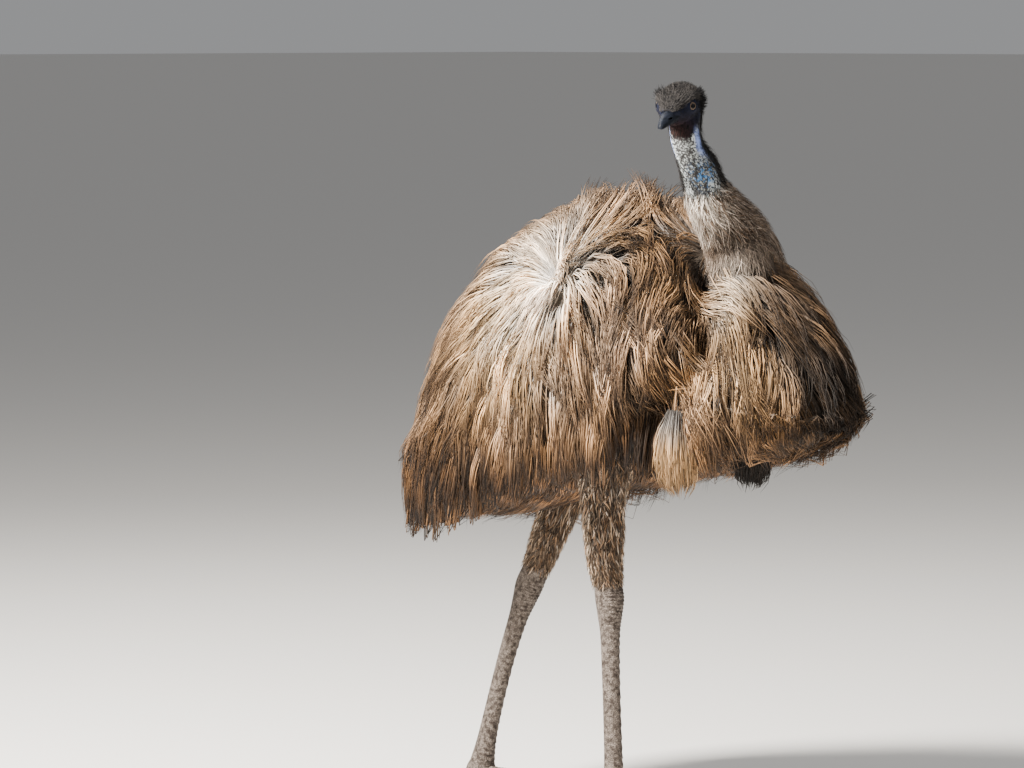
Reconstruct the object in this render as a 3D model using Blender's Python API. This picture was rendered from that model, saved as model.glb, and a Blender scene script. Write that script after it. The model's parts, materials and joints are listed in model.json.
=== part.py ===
"""Emu in mid-stride, life size, standing on the floor with its head turned to its right."""

import math
import random

import bpy
import bmesh
from mathutils import Matrix, Vector

# The bird faces -Y, its right side is at -X, and the floor is z = 0. All sizes are metres.
GAP = 0.0003
SEED = 36
FRONT = Vector((0.0, -1.0, 0.0))

# Outer form of the plumage: an egg about 1 m long, arched along its back.
PLUMAGE_FRONT = 0.542
PLUMAGE_REAR = 0.486
PLUMAGE_MID_Y = 0.011
PLUMAGE_HALF_WIDTH = 0.309
PLUMAGE_RISE = 0.373
PLUMAGE_DROP = 0.214
PLUMAGE_WIDEST_Z = 0.798
PLUMAGE_SLOPE = 0.041
PLUMAGE_ARCH = 0.117
END_BLUNTNESS = 1.915
ROOF_SQUARENESS = 2.0
HEM_SQUARENESS = 2.338
CORE_INSET = 0.046

# How the form grows towards the rear end, as shares of the sizes above.
REAR_HIGHER = 0.108
REAR_DEEPER = 0.250
REAR_SQUARER = 0.754

# Locks of the coat.
LOCK_LENGTH = 0.250
LOCK_WIDTH = 0.092
LOCK_THICKNESS = 0.010
LOCK_SPACING = 0.124
LOCK_SINK = 0.068
LOCK_FULLNESS = (0.75, 1.0, 0.92, 0.6)
BELLY_SHARE = 0.55
BREAST_END_Y = -0.250
COLLAR = (10, 0.078, 0.115)
ROSETTE = (7, 0.050, 0.100)

# Where the coat parts or whirls, and how it hangs elsewhere.
FLANK_WHORL = Vector((-0.235, -0.046, 1.000))
SHOULDER_WHORL = Vector((-0.157, -0.290, 0.993))
NECK_ROOT = Vector((-0.004, -0.270, 1.075))
HANG = Vector((0.0, 0.22, -1.0))

# The rump is parted from the torso by a plane that leans as its feathers hang.
RUMP_CUT_POINT = Vector((0.0, 0.300, 1.100))
RUMP_CUT_NORMAL = Vector((0.0, 0.977, 0.213))

# Neck: centre and radius at each height, from inside the torso to the skull.
NECK_STATIONS = (
    ((0.035, -0.255, 0.960), 0.082),
    ((0.012, -0.268, 1.040), 0.068),
    ((-0.014, -0.270, 1.086), 0.058),
    ((-0.039, -0.271, 1.111), 0.052),
    ((-0.072, -0.270, 1.144), 0.0440),
    ((-0.095, -0.272, 1.170), 0.0390),
    ((-0.123, -0.283, 1.210), 0.0360),
    ((-0.145, -0.289, 1.245), 0.0330),
    ((-0.156, -0.286, 1.280), 0.0300),
    ((-0.152, -0.276, 1.318), 0.0270),
)
NECK_SIDES = 14
NECK_BASE_CUT = 0.275
NECK_MIDDLE_CUT = 0.611
NECK_HEAD_CUT = 0.796
NECK_PART = 0.0008

# Ruff of the lower neck: where its tiers start, and the size of a lock.
RUFF_TIERS = (0.585, 0.455)
RUFF_LOCKS = 7
RUFF_LENGTH = 0.062
RUFF_WIDTH = 0.033
RUFF_THICKNESS = 0.0045
RUFF_ROOM = 0.012

# Head: centre between the eyes, where it looks, and the sizes along its own forward axis.
HEAD_CENTRE = Vector((-0.184, -0.282, 1.320))
HEAD_HEADING = Vector((-0.917, -0.399, 0.0))
HEAD_PITCH = math.radians(12)
SKULL_STATIONS = (
    (-0.078, 0.009, 0.010, 0.008),
    (-0.071, 0.0225, 0.022, 0.020),
    (-0.054, 0.0330, 0.033, 0.030),
    (-0.031, 0.0365, 0.0375, 0.034),
    (-0.008, 0.0350, 0.0360, 0.033),
    (0.010, 0.0300, 0.0295, 0.029),
    (0.024, 0.0235, 0.0205, 0.0245),
    (0.035, 0.0185, 0.0140, 0.0220),
)
EYE_RADIUS = 0.0135
EYE_PLACE = (0.001, 0.0250, 0.002)
LID_RADIUS = 0.0112
LID_THICKNESS = 0.0026
EAR_PLACE = (-0.042, 0.0345, -0.012)
EAR_RADIUS = 0.0075
MOUTH_HEIGHT = -0.0085
MOUTH_DROP = 0.100
BILL_BASE = 0.035
GAPE_CORNER = 0.002

# Crest: places of its locks on the crown, along and across, and the size of a lock.
CREST_PLACES = (
    (0.013, -0.009), (0.013, 0.009), (-0.004, -0.017), (-0.002, 0.001), (-0.004, 0.018),
    (-0.020, -0.009), (-0.020, 0.010), (-0.036, -0.019), (-0.034, 0.001), (-0.036, 0.019),
)
CREST_LENGTH = 0.034
CREST_WIDTH = 0.0140
CREST_THICKNESS = 0.0032

# Bill: distance along the head, half width, height above and depth below the mouth line.
UPPER_BILL_STATIONS = (
    (0.0353, 0.0172, 0.0190),
    (0.0440, 0.0158, 0.0165),
    (0.0550, 0.0136, 0.0138),
    (0.0660, 0.0110, 0.0114),
    (0.0760, 0.0078, 0.0092),
    (0.0830, 0.0046, 0.0066),
    (0.0872, 0.0015, 0.0026),
)
LOWER_BILL_STATIONS = (
    (0.0353, 0.0158, 0.0100),
    (0.0460, 0.0142, 0.0088),
    (0.0580, 0.0116, 0.0074),
    (0.0700, 0.0082, 0.0058),
    (0.0790, 0.0044, 0.0042),
    (0.0835, 0.0015, 0.0018),
)
NOSTRIL_PLACE = (0.0575, 0.0098, 0.0065)

# Legs: centre, half width and half depth at each station, from hip to ankle.
RIGHT_LEG = (
    ((-0.172, -0.100, 0.715), 0.052, 0.060),
    ((-0.166, -0.090, 0.655), 0.046, 0.052),
    ((-0.157, -0.077, 0.601), 0.038, 0.042),
    ((-0.146, -0.069, 0.541), 0.035, 0.038),
    ((-0.137, -0.063, 0.488), 0.031, 0.034),
    ((-0.129, -0.062, 0.447), 0.0255, 0.0285),
    ((-0.1255, -0.0636, 0.417), 0.0260, 0.0290),
    ((-0.1257, -0.0645, 0.385), 0.0225, 0.0245),
    ((-0.1262, -0.0657, 0.349), 0.0180, 0.0200),
    ((-0.1290, -0.0710, 0.267), 0.0165, 0.0182),
    ((-0.1320, -0.0790, 0.150), 0.0165, 0.0186),
    ((-0.1340, -0.0830, 0.080), 0.0190, 0.0210),
    ((-0.1345, -0.0845, 0.020), 0.0260, 0.0280),
)
LEFT_LEG = (
    ((0.132, 0.215, 0.715), 0.052, 0.060),
    ((0.130, 0.245, 0.655), 0.046, 0.052),
    ((0.127, 0.278, 0.600), 0.038, 0.042),
    ((0.125, 0.318, 0.5275), 0.035, 0.038),
    ((0.123, 0.343, 0.477), 0.031, 0.034),
    ((0.1215, 0.367, 0.427), 0.0255, 0.0285),
    ((0.1180, 0.386, 0.388), 0.0260, 0.0290),
    ((0.1155, 0.398, 0.357), 0.0225, 0.0245),
    ((0.1125, 0.413, 0.318), 0.0180, 0.0200),
    ((0.1100, 0.442, 0.240), 0.0165, 0.0182),
    ((0.1090, 0.475, 0.140), 0.0165, 0.0186),
    ((0.1080, 0.494, 0.073), 0.0190, 0.0210),
    ((0.1080, 0.508, 0.020), 0.0260, 0.0280),
)
HOCK_CUT = 5 / 12
SHANK_SIDES = 10
SHANK_SCUTES = 12
SCUTE_STEP = 0.0011

# Locks of the drumsticks: where their tiers start, and the size of a lock.
DRUMSTICK_TIERS = (3.2 / 12, 4.0 / 12)
DRUMSTICK_LOCKS = 4
DRUMSTICK_LOCK = (0.072, 0.044, 0.0060)
DRUMSTICK_ROOM = 0.014

# Feet: three toes each, on a pad under the end of the shank.
FOOT_HEADINGS = {"right": math.radians(-6), "left": math.radians(4)}
PAD_RADIUS = 0.032
PAD_PROFILE = ((0.0, 0.86), (0.006, 1.0), (0.018, 0.97), (0.030, 0.80))
TOE_START = 0.0345
TOES = {
    "inner": (math.radians(-36), 0.088, 0.0125),
    "middle": (0.0, 0.128, 0.0150),
    "outer": (math.radians(36), 0.092, 0.0125),
}
TOE_SCUTES = 5
CLAW_LENGTH = 0.026


def clear_scene():
    for obj in list(bpy.data.objects):
        bpy.data.objects.remove(obj)


def new_material(name, colour, roughness):
    material = bpy.data.materials.new(name)
    material.use_nodes = True
    shader = material.node_tree.nodes["Principled BSDF"]
    shader.inputs["Base Color"].default_value = (*colour, 1.0)
    shader.inputs["Roughness"].default_value = roughness
    return material


def new_object(name, mesh_data, material, collection):
    """A mesh object from a bmesh, faces outwards."""
    bmesh.ops.recalc_face_normals(mesh_data, faces=mesh_data.faces)
    mesh = bpy.data.meshes.new(name)
    mesh_data.to_mesh(mesh)
    mesh_data.free()
    mesh.materials.append(material)
    obj = bpy.data.objects.new(name, mesh)
    collection.objects.link(obj)
    return obj


def loft(rings):
    """A closed bmesh through rings of equally many points, its ends capped with fans."""
    mesh_data = bmesh.new()
    rows = [[mesh_data.verts.new(point) for point in ring] for ring in rings]
    count = len(rows[0])
    for lower, upper in zip(rows, rows[1:]):
        for i in range(count):
            j = (i + 1) % count
            mesh_data.faces.new((lower[i], lower[j], upper[j]))
            mesh_data.faces.new((lower[i], upper[j], upper[i]))
    for row, ring in ((rows[0], rings[0]), (rows[-1], rings[-1])):
        middle = mesh_data.verts.new(sum(ring, Vector()) / count)
        for i in range(count):
            mesh_data.faces.new((row[i], row[(i + 1) % count], middle))
    return mesh_data


def signed_power(value, exponent):
    return math.copysign(abs(value) ** exponent, value)


def plumage_section(y, inset=0.0):
    """Fullness, centre height, half width, rise, drop and hem power at a station."""
    reach = PLUMAGE_FRONT if y < PLUMAGE_MID_Y else PLUMAGE_REAR
    along = (y - PLUMAGE_MID_Y) / (reach - inset)
    centre = PLUMAGE_WIDEST_Z - PLUMAGE_SLOPE * along - PLUMAGE_ARCH * along * along
    spare = 1.0 - abs(along) ** END_BLUNTNESS
    half_width = PLUMAGE_HALF_WIDTH - inset
    rise = PLUMAGE_RISE * (1 + REAR_HIGHER * along) - inset
    drop = PLUMAGE_DROP * (1 + REAR_DEEPER * along) - inset
    hem_power = max(1.8, HEM_SQUARENESS + REAR_SQUARER * along)
    return spare, centre, half_width, rise, drop, hem_power


def plumage_point(y, angle, inset=0.0):
    """Point of the outer form; the angle is 0 at the spine and grows to the left side."""
    spare, centre, half_width, rise, drop, hem_power = plumage_section(y, inset)
    upper = math.cos(angle) > 0
    power = ROOF_SQUARENESS if upper else hem_power
    size = max(0.0, spare) ** (1 / power)
    across = half_width * size * signed_power(math.sin(angle), 2 / power)
    up = (rise if upper else drop) * size * signed_power(math.cos(angle), 2 / power)
    return Vector((across, y, centre + up))


def plumage_fill(point):
    """1 on the outer form, less inside it."""
    spare, centre, half_width, rise, drop, hem_power = plumage_section(point.y)
    high = point.z > centre
    power = ROOF_SQUARENESS if high else hem_power
    up = (point.z - centre) / (rise if high else drop)
    return 1 - spare + abs(point.x / half_width) ** power + abs(up) ** power


def outward(point):
    """Unit normal of the outer form near a point."""
    step = 0.002
    slope = Vector()
    for axis in range(3):
        aside = Vector()
        aside[axis] = step
        slope[axis] = plumage_fill(point + aside) - plumage_fill(point - aside)
    return slope.normalized()


def settled(point):
    """The point moved along the normal on to the outer form."""
    for _ in range(4):
        normal = outward(point)
        step = 0.004
        rate = (plumage_fill(point + normal * step) - plumage_fill(point)) / step
        move = (1.0 - plumage_fill(point)) / max(rate, 1.0)
        point = point + normal * max(-0.05, min(0.05, move))
    return point


def whirl(point, centre, strength, size):
    """Pull away from the centre of a whorl, fading with distance."""
    away = point - centre
    return away.normalized() * strength * math.exp(-((away.length / size) ** 2))


def lie(point, normal):
    """Unit direction in which the coat lies at a point of the outer form."""
    flow = HANG.copy()
    flow += whirl(point, FLANK_WHORL, 2.2, 0.30)
    flow += whirl(point, SHOULDER_WHORL, 1.2, 0.13)
    flow += whirl(point, NECK_ROOT, 1.6, 0.20)
    flow -= normal * flow.dot(normal)
    return flow.normalized()


def next_place(point, normal, step, steps_left):
    """The next point along a lock: over the form, then hanging free down to the hem."""
    if -0.6 < normal.z < -0.25 and point.y > BREAST_END_Y:
        room = (point.z - plumage_point(point.y, math.pi).z) / steps_left
        return point + HANG.normalized() * max(0.012, min(step, room))
    return settled(point + lie(point, normal) * step)


def lock_spine(start, length, sink, lift, steps):
    """Centres and normals along a lock, from inside the core to its tip."""
    spine = []
    point = settled(start)
    for i in range(steps + 1):
        along = i / steps
        normal = outward(point)
        depth = lift * along * along - sink * (1 - along) ** 2
        spine.append((point + normal * depth, normal))
        if i < steps:
            point = next_place(point, normal, length / steps, steps - i)
    return spine


def blade(spine, width, thickness, fullness):
    """A flat tapered lock as a closed bmesh, split into triangles alike on both faces."""
    mesh_data = bmesh.new()
    rows = []
    for i, (centre, normal) in enumerate(spine[:-1]):
        ahead = spine[i + 1][0]
        behind = spine[max(i - 1, 0)][0]
        along = (ahead - behind).normalized()
        side = along.cross(normal).normalized()
        face = side.cross(along).normalized()
        half = side * (width * fullness[i] / 2)
        rise = face * (thickness * (0.35 + 0.65 * fullness[i]) / 2)
        corners = (centre - half, centre + rise, centre + half, centre - rise)
        rows.append([mesh_data.verts.new(corner) for corner in corners])
    for low, high in zip(rows, rows[1:]):
        for edge, ridge in ((0, 1), (0, 3), (2, 1), (2, 3)):
            mesh_data.faces.new((low[edge], low[ridge], high[ridge]))
            mesh_data.faces.new((low[edge], high[ridge], high[edge]))
    tip = mesh_data.verts.new(spine[-1][0])
    for i in range(4):
        mesh_data.faces.new((rows[-1][i], rows[-1][(i + 1) % 4], tip))
    mesh_data.faces.new((rows[0][0], rows[0][1], rows[0][3]))
    mesh_data.faces.new((rows[0][2], rows[0][1], rows[0][3]))
    return mesh_data


def union(target, pieces):
    """Joins a collection of closed meshes to the target and removes them."""
    modifier = target.modifiers.new("Union", "BOOLEAN")
    modifier.operation = "UNION"
    modifier.solver = "MANIFOLD"
    modifier.operand_type = "COLLECTION"
    modifier.collection = pieces
    apply_modifiers(target)
    for piece in list(pieces.objects):
        bpy.data.objects.remove(piece)
    bpy.data.collections.remove(pieces)
    keep_largest(target)


def cut(target, cutters):
    """Takes the cutters out of the target and removes them."""
    for cutter in cutters:
        modifier = target.modifiers.new("Cut", "BOOLEAN")
        modifier.operation = "DIFFERENCE"
        modifier.solver = "MANIFOLD"
        modifier.object = cutter
    apply_modifiers(target)
    for cutter in cutters:
        bpy.data.objects.remove(cutter)
    keep_largest(target)


def apply_modifiers(obj):
    """Replaces the object's mesh by the one its modifiers give."""
    graph = bpy.context.evaluated_depsgraph_get()
    graph.update()
    mesh = bpy.data.meshes.new_from_object(obj.evaluated_get(graph))
    obj.modifiers.clear()
    old = obj.data
    obj.data = mesh
    bpy.data.meshes.remove(old)
    mesh.name = obj.name


def keep_largest(obj):
    """Removes all but the largest closed surface of the object."""
    mesh_data = bmesh.new()
    mesh_data.from_mesh(obj.data)
    bmesh.ops.triangulate(mesh_data, faces=mesh_data.faces)
    unseen = set(mesh_data.verts)
    shells = []
    while unseen:
        shell = set()
        front = [unseen.pop()]
        while front:
            vert = front.pop()
            shell.add(vert)
            for edge in vert.link_edges:
                other = edge.other_vert(vert)
                if other in unseen:
                    unseen.remove(other)
                    front.append(other)
        shells.append(shell)
    shells.sort(key=len)
    for shell in shells[:-1]:
        bmesh.ops.delete(mesh_data, geom=list(shell), context="VERTS")
    mesh_data.to_mesh(obj.data)
    mesh_data.free()


def piece_collection(name):
    """An empty collection for the pieces that a union takes in."""
    pieces = bpy.data.collections.new(name)
    bpy.context.scene.collection.children.link(pieces)
    return pieces


def plumage_core(name, material, collection):
    """The body under the coat, half way between skin and tips."""
    rings = []
    stations, sides = 13, 20
    for i in range(stations):
        y = station_y((i + 0.35) / (stations - 0.3), CORE_INSET)
        angles = [math.tau * k / sides for k in range(sides)]
        rings.append([plumage_point(y, angle, CORE_INSET) for angle in angles])
    return new_object(name, loft(rings), material, collection)


def station_y(share, inset=0.0):
    """Stations from breast to rump, closer together towards both ends."""
    turn = -math.cos(math.pi * share)
    return PLUMAGE_MID_Y + turn * ((PLUMAGE_FRONT if turn < 0 else PLUMAGE_REAR) - inset)


def lock_roots(rng):
    """Evenly spread, jittered places on the outer form."""
    rows = round(1.03 * (PLUMAGE_FRONT + PLUMAGE_REAR) / LOCK_SPACING)
    for row in range(rows):
        share = (row + 0.85) / (rows + 0.7)
        y = station_y(share)
        girth = sum(
            (plumage_point(y, math.tau * (k + 1) / 24) - plumage_point(y, math.tau * k / 24)).length
            for k in range(24)
        )
        count = max(4, round(girth / LOCK_SPACING))
        for k in range(count):
            angle = math.tau * (k + 0.5 * (row % 2) + rng.uniform(-0.2, 0.2)) / count
            shift = rng.uniform(-0.25, 0.25) * LOCK_SPACING * math.sin(math.pi * share)
            yield plumage_point(y + shift, angle)


def rump_side(point):
    """Distance of a point behind the plane that parts rump and torso."""
    return (point - RUMP_CUT_POINT).dot(RUMP_CUT_NORMAL)


def ring_roots(centre, ring, rng):
    """Places of locks in a ring round a centre of the lie; the ring's count and radius."""
    count, radius, _ = ring
    normal = outward(settled(centre))
    side = normal.orthogonal().normalized()
    for k in range(count):
        turn = math.tau * (k + rng.uniform(-0.2, 0.2)) / count
        yield settled(centre + Matrix.Rotation(turn, 3, normal) @ side * radius)


def add_coat_locks(torso_locks, tail_locks, material):
    """Locks all over the body, each in the collection of the node it grows from."""
    rng = random.Random(SEED)
    rings = ((NECK_ROOT, COLLAR), (FLANK_WHORL, ROSETTE))
    roots = list(lock_roots(rng))
    for centre, ring in rings:
        roots = [root for root in roots if (root - centre).length > ring[2]]
        roots += ring_roots(centre, ring, rng)
    for i, root in enumerate(roots):
        length = LOCK_LENGTH * rng.uniform(0.85, 1.15)
        width = LOCK_WIDTH * rng.uniform(0.85, 1.15)
        lift = rng.uniform(0.0, 0.010)
        sink = LOCK_SINK * rng.uniform(0.95, 1.05)
        if outward(root).z < -0.6:
            length *= BELLY_SHARE
        spine = lock_spine(root, length, sink, lift, len(LOCK_FULLNESS))
        lock = blade(spine, width, LOCK_THICKNESS, LOCK_FULLNESS)
        pieces = tail_locks if rump_side(spine[0][0]) > 0.0 else torso_locks
        new_object(f"lock_{i}", lock, material, pieces)


def rump_box(name, behind, material, collection):
    """A box that holds all on one side of the plane between rump and torso."""
    mesh_data = bmesh.new()
    size = 2.0
    offset = (size - GAP) / 2 * (1 if behind else -1)
    turn = RUMP_CUT_NORMAL.to_track_quat("X", "Z").to_matrix().to_4x4()
    place = Matrix.Translation(RUMP_CUT_POINT + RUMP_CUT_NORMAL.normalized() * offset)
    bmesh.ops.create_cube(mesh_data, size=size, matrix=place @ turn)
    return new_object(name, mesh_data, material, collection)


def smooth_stations(stations, per_span):
    """Catmull-Rom points through (position, sizes...) stations."""
    rows = [[*place, *sizes] for place, *sizes in stations]
    ends = [[2 * a - b for a, b in zip(rows[0], rows[1])]]
    ends.append([2 * a - b for a, b in zip(rows[-1], rows[-2])])
    padded = [ends[0], *rows, ends[1]]
    found = []
    for i in range(len(rows) - 1):
        p0, p1, p2, p3 = padded[i : i + 4]
        for k in range(per_span):
            t = k / per_span
            found.append([
                0.5 * (2 * b + (c - a) * t + (2 * a - 5 * b + 4 * c - d) * t * t
                       + (3 * b - a - 3 * c + d) * t ** 3)
                for a, b, c, d in zip(p0, p1, p2, p3)
            ])
    found.append(rows[-1])
    return found


def along_stations(rows, share):
    """Row of values at a share of the way along, from 0 to 1."""
    place = share * (len(rows) - 1)
    low = min(int(place), len(rows) - 2)
    mix = place - low
    return [a + (b - a) * mix for a, b in zip(rows[low], rows[low + 1])]


def tube_frame(rows, share):
    """Centre, directions across and towards the front, and half sizes at a share of a tube."""
    x, y, z, *sizes = along_stations(rows, share)
    half_width, half_depth = (sizes * 2)[:2]
    ahead = Vector(along_stations(rows, min(share + 0.01, 1.0))[:3])
    behind = Vector(along_stations(rows, max(share - 0.01, 0.0))[:3])
    axis = (ahead - behind).normalized()
    side = FRONT.cross(axis).normalized()
    return Vector((x, y, z)), side, axis.cross(side).normalized(), half_width, half_depth


def tube_rings(rows, shares, sides, grow=0.0):
    """Rings square to the path, with half width across and half depth towards the front."""
    rings = []
    for share in shares:
        centre, side, forward, half_width, half_depth = tube_frame(rows, share)
        ring = []
        for k in range(sides):
            angle = math.tau * k / sides
            across = side * math.sin(angle) * (half_width + grow)
            fore = forward * math.cos(angle) * (half_depth + grow)
            ring.append(centre + across + fore)
        rings.append(ring)
    return rings


def even_shares(start, end, count):
    return [start + (end - start) * i / (count - 1) for i in range(count)]


def neck_tube(rows, start, end, count, grow=0.0):
    shares = even_shares(start, end, count)
    return loft(tube_rings(rows, shares, NECK_SIDES, grow))


def add_tube_locks(rows, tiers, count, size, pieces, material):
    """Tiers of locks lying down a neck or leg, with their roots inside it."""
    length, width, thickness = size
    rng = random.Random(SEED)
    path = sum((Vector(a[:3]) - Vector(b[:3])).length for a, b in zip(rows, rows[1:]))
    downward = -1 if rows[-1][2] > rows[0][2] else 1
    steps = len(LOCK_FULLNESS)
    for tier, start in enumerate(tiers):
        for k in range(count):
            turn = math.tau * (k + 0.5 * (tier % 2) + rng.uniform(-0.15, 0.15)) / count
            reach = length * rng.uniform(0.85, 1.15) / path
            drift = rng.uniform(-0.25, 0.25)
            spine = []
            for i in range(steps + 1):
                along = i / steps
                share = start + downward * reach * along
                depth = thickness * (2.0 * along * along - 1.2 * (1 - along) ** 2)
                spine.append(tube_place(rows, share, turn + drift * along, depth))
            lock = blade(spine, width * rng.uniform(0.85, 1.15), thickness, LOCK_FULLNESS)
            new_object(f"lock_{tier}_{k}", lock, material, pieces)


def tube_place(rows, share, turn, height):
    """A point at a height over a tube, and the normal there."""
    centre, side, forward, half_width, half_depth = tube_frame(rows, share)
    spoke = side * math.sin(turn) * half_width + forward * math.cos(turn) * half_depth
    return centre + spoke + spoke.normalized() * height, spoke.normalized()


def head_point(along, across, up):
    """World place of a point given in the head's own forward, right-hand and up sizes."""
    forward, side, above = head_axes()
    return HEAD_CENTRE + forward * along + side * across + above * up


def head_axes():
    """Forward, side towards the bird's left, and up."""
    level = HEAD_HEADING.normalized()
    up = Vector((0, 0, 1))
    side = up.cross(level).normalized()
    forward = level * math.cos(HEAD_PITCH) - up * math.sin(HEAD_PITCH)
    return forward, side, forward.cross(side)


def head_matrix(along, across, up):
    forward, side, above = head_axes()
    turn = Matrix((forward, side, above)).transposed().to_4x4()
    return Matrix.Translation(head_point(along, across, up)) @ turn


def skull(name, material, collection):
    rings = []
    for along, half_width, top, bottom in SKULL_STATIONS:
        ring = []
        for k in range(16):
            angle = math.tau * k / 16
            height = top if math.cos(angle) > 0 else bottom
            ring.append(head_point(
                along,
                half_width * signed_power(math.sin(angle), 0.92),
                height * signed_power(math.cos(angle), 0.92),
            ))
        rings.append(ring)
    return new_object(name, loft(rings), material, collection)


def mouth_line(along):
    return MOUTH_HEIGHT - MOUTH_DROP * along


def bill_half(name, stations, upper, material, collection):
    """Upper or lower bill: an arch on a flat face along the mouth line."""
    rings = []
    sign = 1 if upper else -1
    for along, half_width, height in stations:
        level = mouth_line(along) + sign * GAP / 2
        ring = []
        for k in range(11):
            angle = math.pi * k / 10
            across = half_width * signed_power(math.cos(angle), 0.85)
            rise = height * (math.sin(angle) ** 1.25)
            ring.append(head_point(along, across, level + sign * rise))
        rings.append(ring)
    return new_object(name, loft(rings), material, collection)


def ball(name, place, radii, material, collection, segments=14):
    """An ellipsoid in the head's own axes."""
    mesh_data = bmesh.new()
    bmesh.ops.create_uvsphere(
        mesh_data,
        u_segments=segments,
        v_segments=segments // 2,
        radius=1.0,
        matrix=head_matrix(*place) @ Matrix.Diagonal((*radii, 1.0)),
    )
    return new_object(name, mesh_data, material, collection)


def lid_ring(name, place, side, radius, thickness, squash, material, collection):
    """A rounded rim round an eye or ear, standing on the side of the head."""
    turns, sides = 12, 5
    mesh_data = bmesh.new()
    rows = []
    for i in range(turns):
        turn = math.tau * i / turns
        row = []
        for k in range(sides):
            roll = math.tau * k / sides
            reach = radius + thickness * math.cos(roll)
            row.append(mesh_data.verts.new(head_point(
                place[0] + reach * math.cos(turn),
                side * (place[1] + thickness * math.sin(roll)),
                place[2] + reach * squash * math.sin(turn),
            )))
        rows.append(row)
    for i, low in enumerate(rows):
        high = rows[(i + 1) % turns]
        for k in range(sides):
            j = (k + 1) % sides
            mesh_data.faces.new((low[k], low[j], high[j]))
            mesh_data.faces.new((low[k], high[j], high[k]))
    return new_object(name, mesh_data, material, collection)


def crown_place(along, across, height):
    """A point at a height over the top of the skull, and the normal there."""
    centre = head_point(along, 0.0, 0.0)
    low = max(i for i, station in enumerate(SKULL_STATIONS) if station[0] <= along)
    before, after = SKULL_STATIONS[low : low + 2]
    mix = (along - before[0]) / (after[0] - before[0])
    half_width = before[1] + (after[1] - before[1]) * mix
    top = before[2] + (after[2] - before[2]) * mix
    up = top * math.sqrt(max(0.0, 1 - (across / half_width) ** 2))
    place = head_point(along, across, up)
    normal = (place - centre).normalized()
    return place + normal * height, normal


def add_crest_locks(pieces, material):
    """Streaky feathers of the crown, lying back over the nape."""
    rng = random.Random(SEED)
    steps = len(LOCK_FULLNESS)
    for i, (start, across) in enumerate(CREST_PLACES):
        length = CREST_LENGTH * rng.uniform(0.85, 1.15)
        lift = rng.uniform(1.2, 2.6)
        spine = []
        for k in range(steps + 1):
            along = k / steps
            back = max(start - length * along, SKULL_STATIONS[0][0] + 0.006)
            aside = across * (1 + 0.35 * along)
            height = CREST_THICKNESS * (lift * along * along - 1.1 * (1 - along) ** 2)
            limit = 0.95 * min(0.5 * (back - SKULL_STATIONS[0][0]) + 0.006, 0.03)
            spine.append(crown_place(back, max(-limit, min(limit, aside)), height))
        lock = blade(spine, CREST_WIDTH, CREST_THICKNESS, LOCK_FULLNESS)
        new_object(f"crest_{i}", lock, material, pieces)


def scuted_tube(rows, start, end):
    """Rings of a shank whose front rises in overlapping plates."""
    shares = []
    steps = []
    for i in range(SHANK_SCUTES):
        low = start + (end - start) * i / SHANK_SCUTES
        high = start + (end - start) * (i + 0.82) / SHANK_SCUTES
        shares += [low, high]
        steps += [0.0, SCUTE_STEP]
    shares.append(end)
    steps.append(0.0)
    rings = tube_rings(rows, shares, SHANK_SIDES)
    for ring, rise in zip(rings, steps):
        centre = sum(ring, Vector()) / SHANK_SIDES
        for k, point in enumerate(ring):
            facing = max(0.0, math.cos(math.tau * k / SHANK_SIDES))
            ring[k] = point + (point - centre).normalized() * rise * math.sqrt(facing)
    return rings


def main():
    clear_scene()
    emu = piece_collection("emu")
    cutters = piece_collection("cutters")
    feather = new_material("plumage", (0.165, 0.115, 0.075), 0.85)
    neck_skin = new_material("neck_skin", (0.42, 0.47, 0.50), 0.7)
    crown = new_material("head_feather", (0.05, 0.042, 0.036), 0.8)
    horn = new_material("bill_horn", (0.055, 0.052, 0.050), 0.45)
    eye = new_material("eye", (0.30, 0.12, 0.045), 0.1)
    scale = new_material("leg_scales", (0.14, 0.115, 0.09), 0.6)
    claw = new_material("claw_horn", (0.03, 0.027, 0.024), 0.4)

    make_body(emu, cutters, feather)
    make_neck(emu, feather, neck_skin)
    make_head(emu, cutters, crown, horn, eye)
    make_legs(emu, feather, scale, claw)
    bpy.data.collections.remove(cutters)


def make_body(emu, cutters, feather):
    torso = plumage_core("torso", feather, emu)
    tail = plumage_core("tail", feather, emu)
    torso_pieces = piece_collection("torso_pieces")
    tail_pieces = piece_collection("tail_pieces")
    neck = smooth_stations(NECK_STATIONS, 3)
    new_object("stump", neck_tube(neck, 0.0, NECK_BASE_CUT, 4), feather, torso_pieces)
    add_coat_locks(torso_pieces, tail_pieces, feather)
    union(torso, torso_pieces)
    union(tail, tail_pieces)
    cut(torso, [rump_box("behind", True, feather, cutters)])
    cut(tail, [rump_box("before", False, feather, cutters)])
    room = GAP * 1.6
    neck_room = neck_tube(neck, NECK_BASE_CUT + NECK_PART / 2, NECK_MIDDLE_CUT, 7, RUFF_ROOM)
    cut(torso, [new_object("neck_room", neck_room, feather, cutters)])
    for stations in (RIGHT_LEG, LEFT_LEG):
        for node in (torso, tail):
            cut(node, [drumstick("leg_room", stations, room, feather, cutters)])


def drumstick(name, stations, room, material, collection):
    """The feathered upper leg, or with room round it the socket it hangs in."""
    rows = smooth_stations(stations, 2)
    rings = tube_rings(rows, even_shares(0.0, HOCK_CUT, 9), 12, room)
    if room:
        rings[0] = [point + Vector((0, 0, room)) for point in rings[0]]
        for ring in rings[5:]:
            centre = sum(ring, Vector()) / len(ring)
            ring[:] = [point + (point - centre).normalized() * DRUMSTICK_ROOM for point in ring]
    return new_object(name, loft(rings), material, collection)


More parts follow.
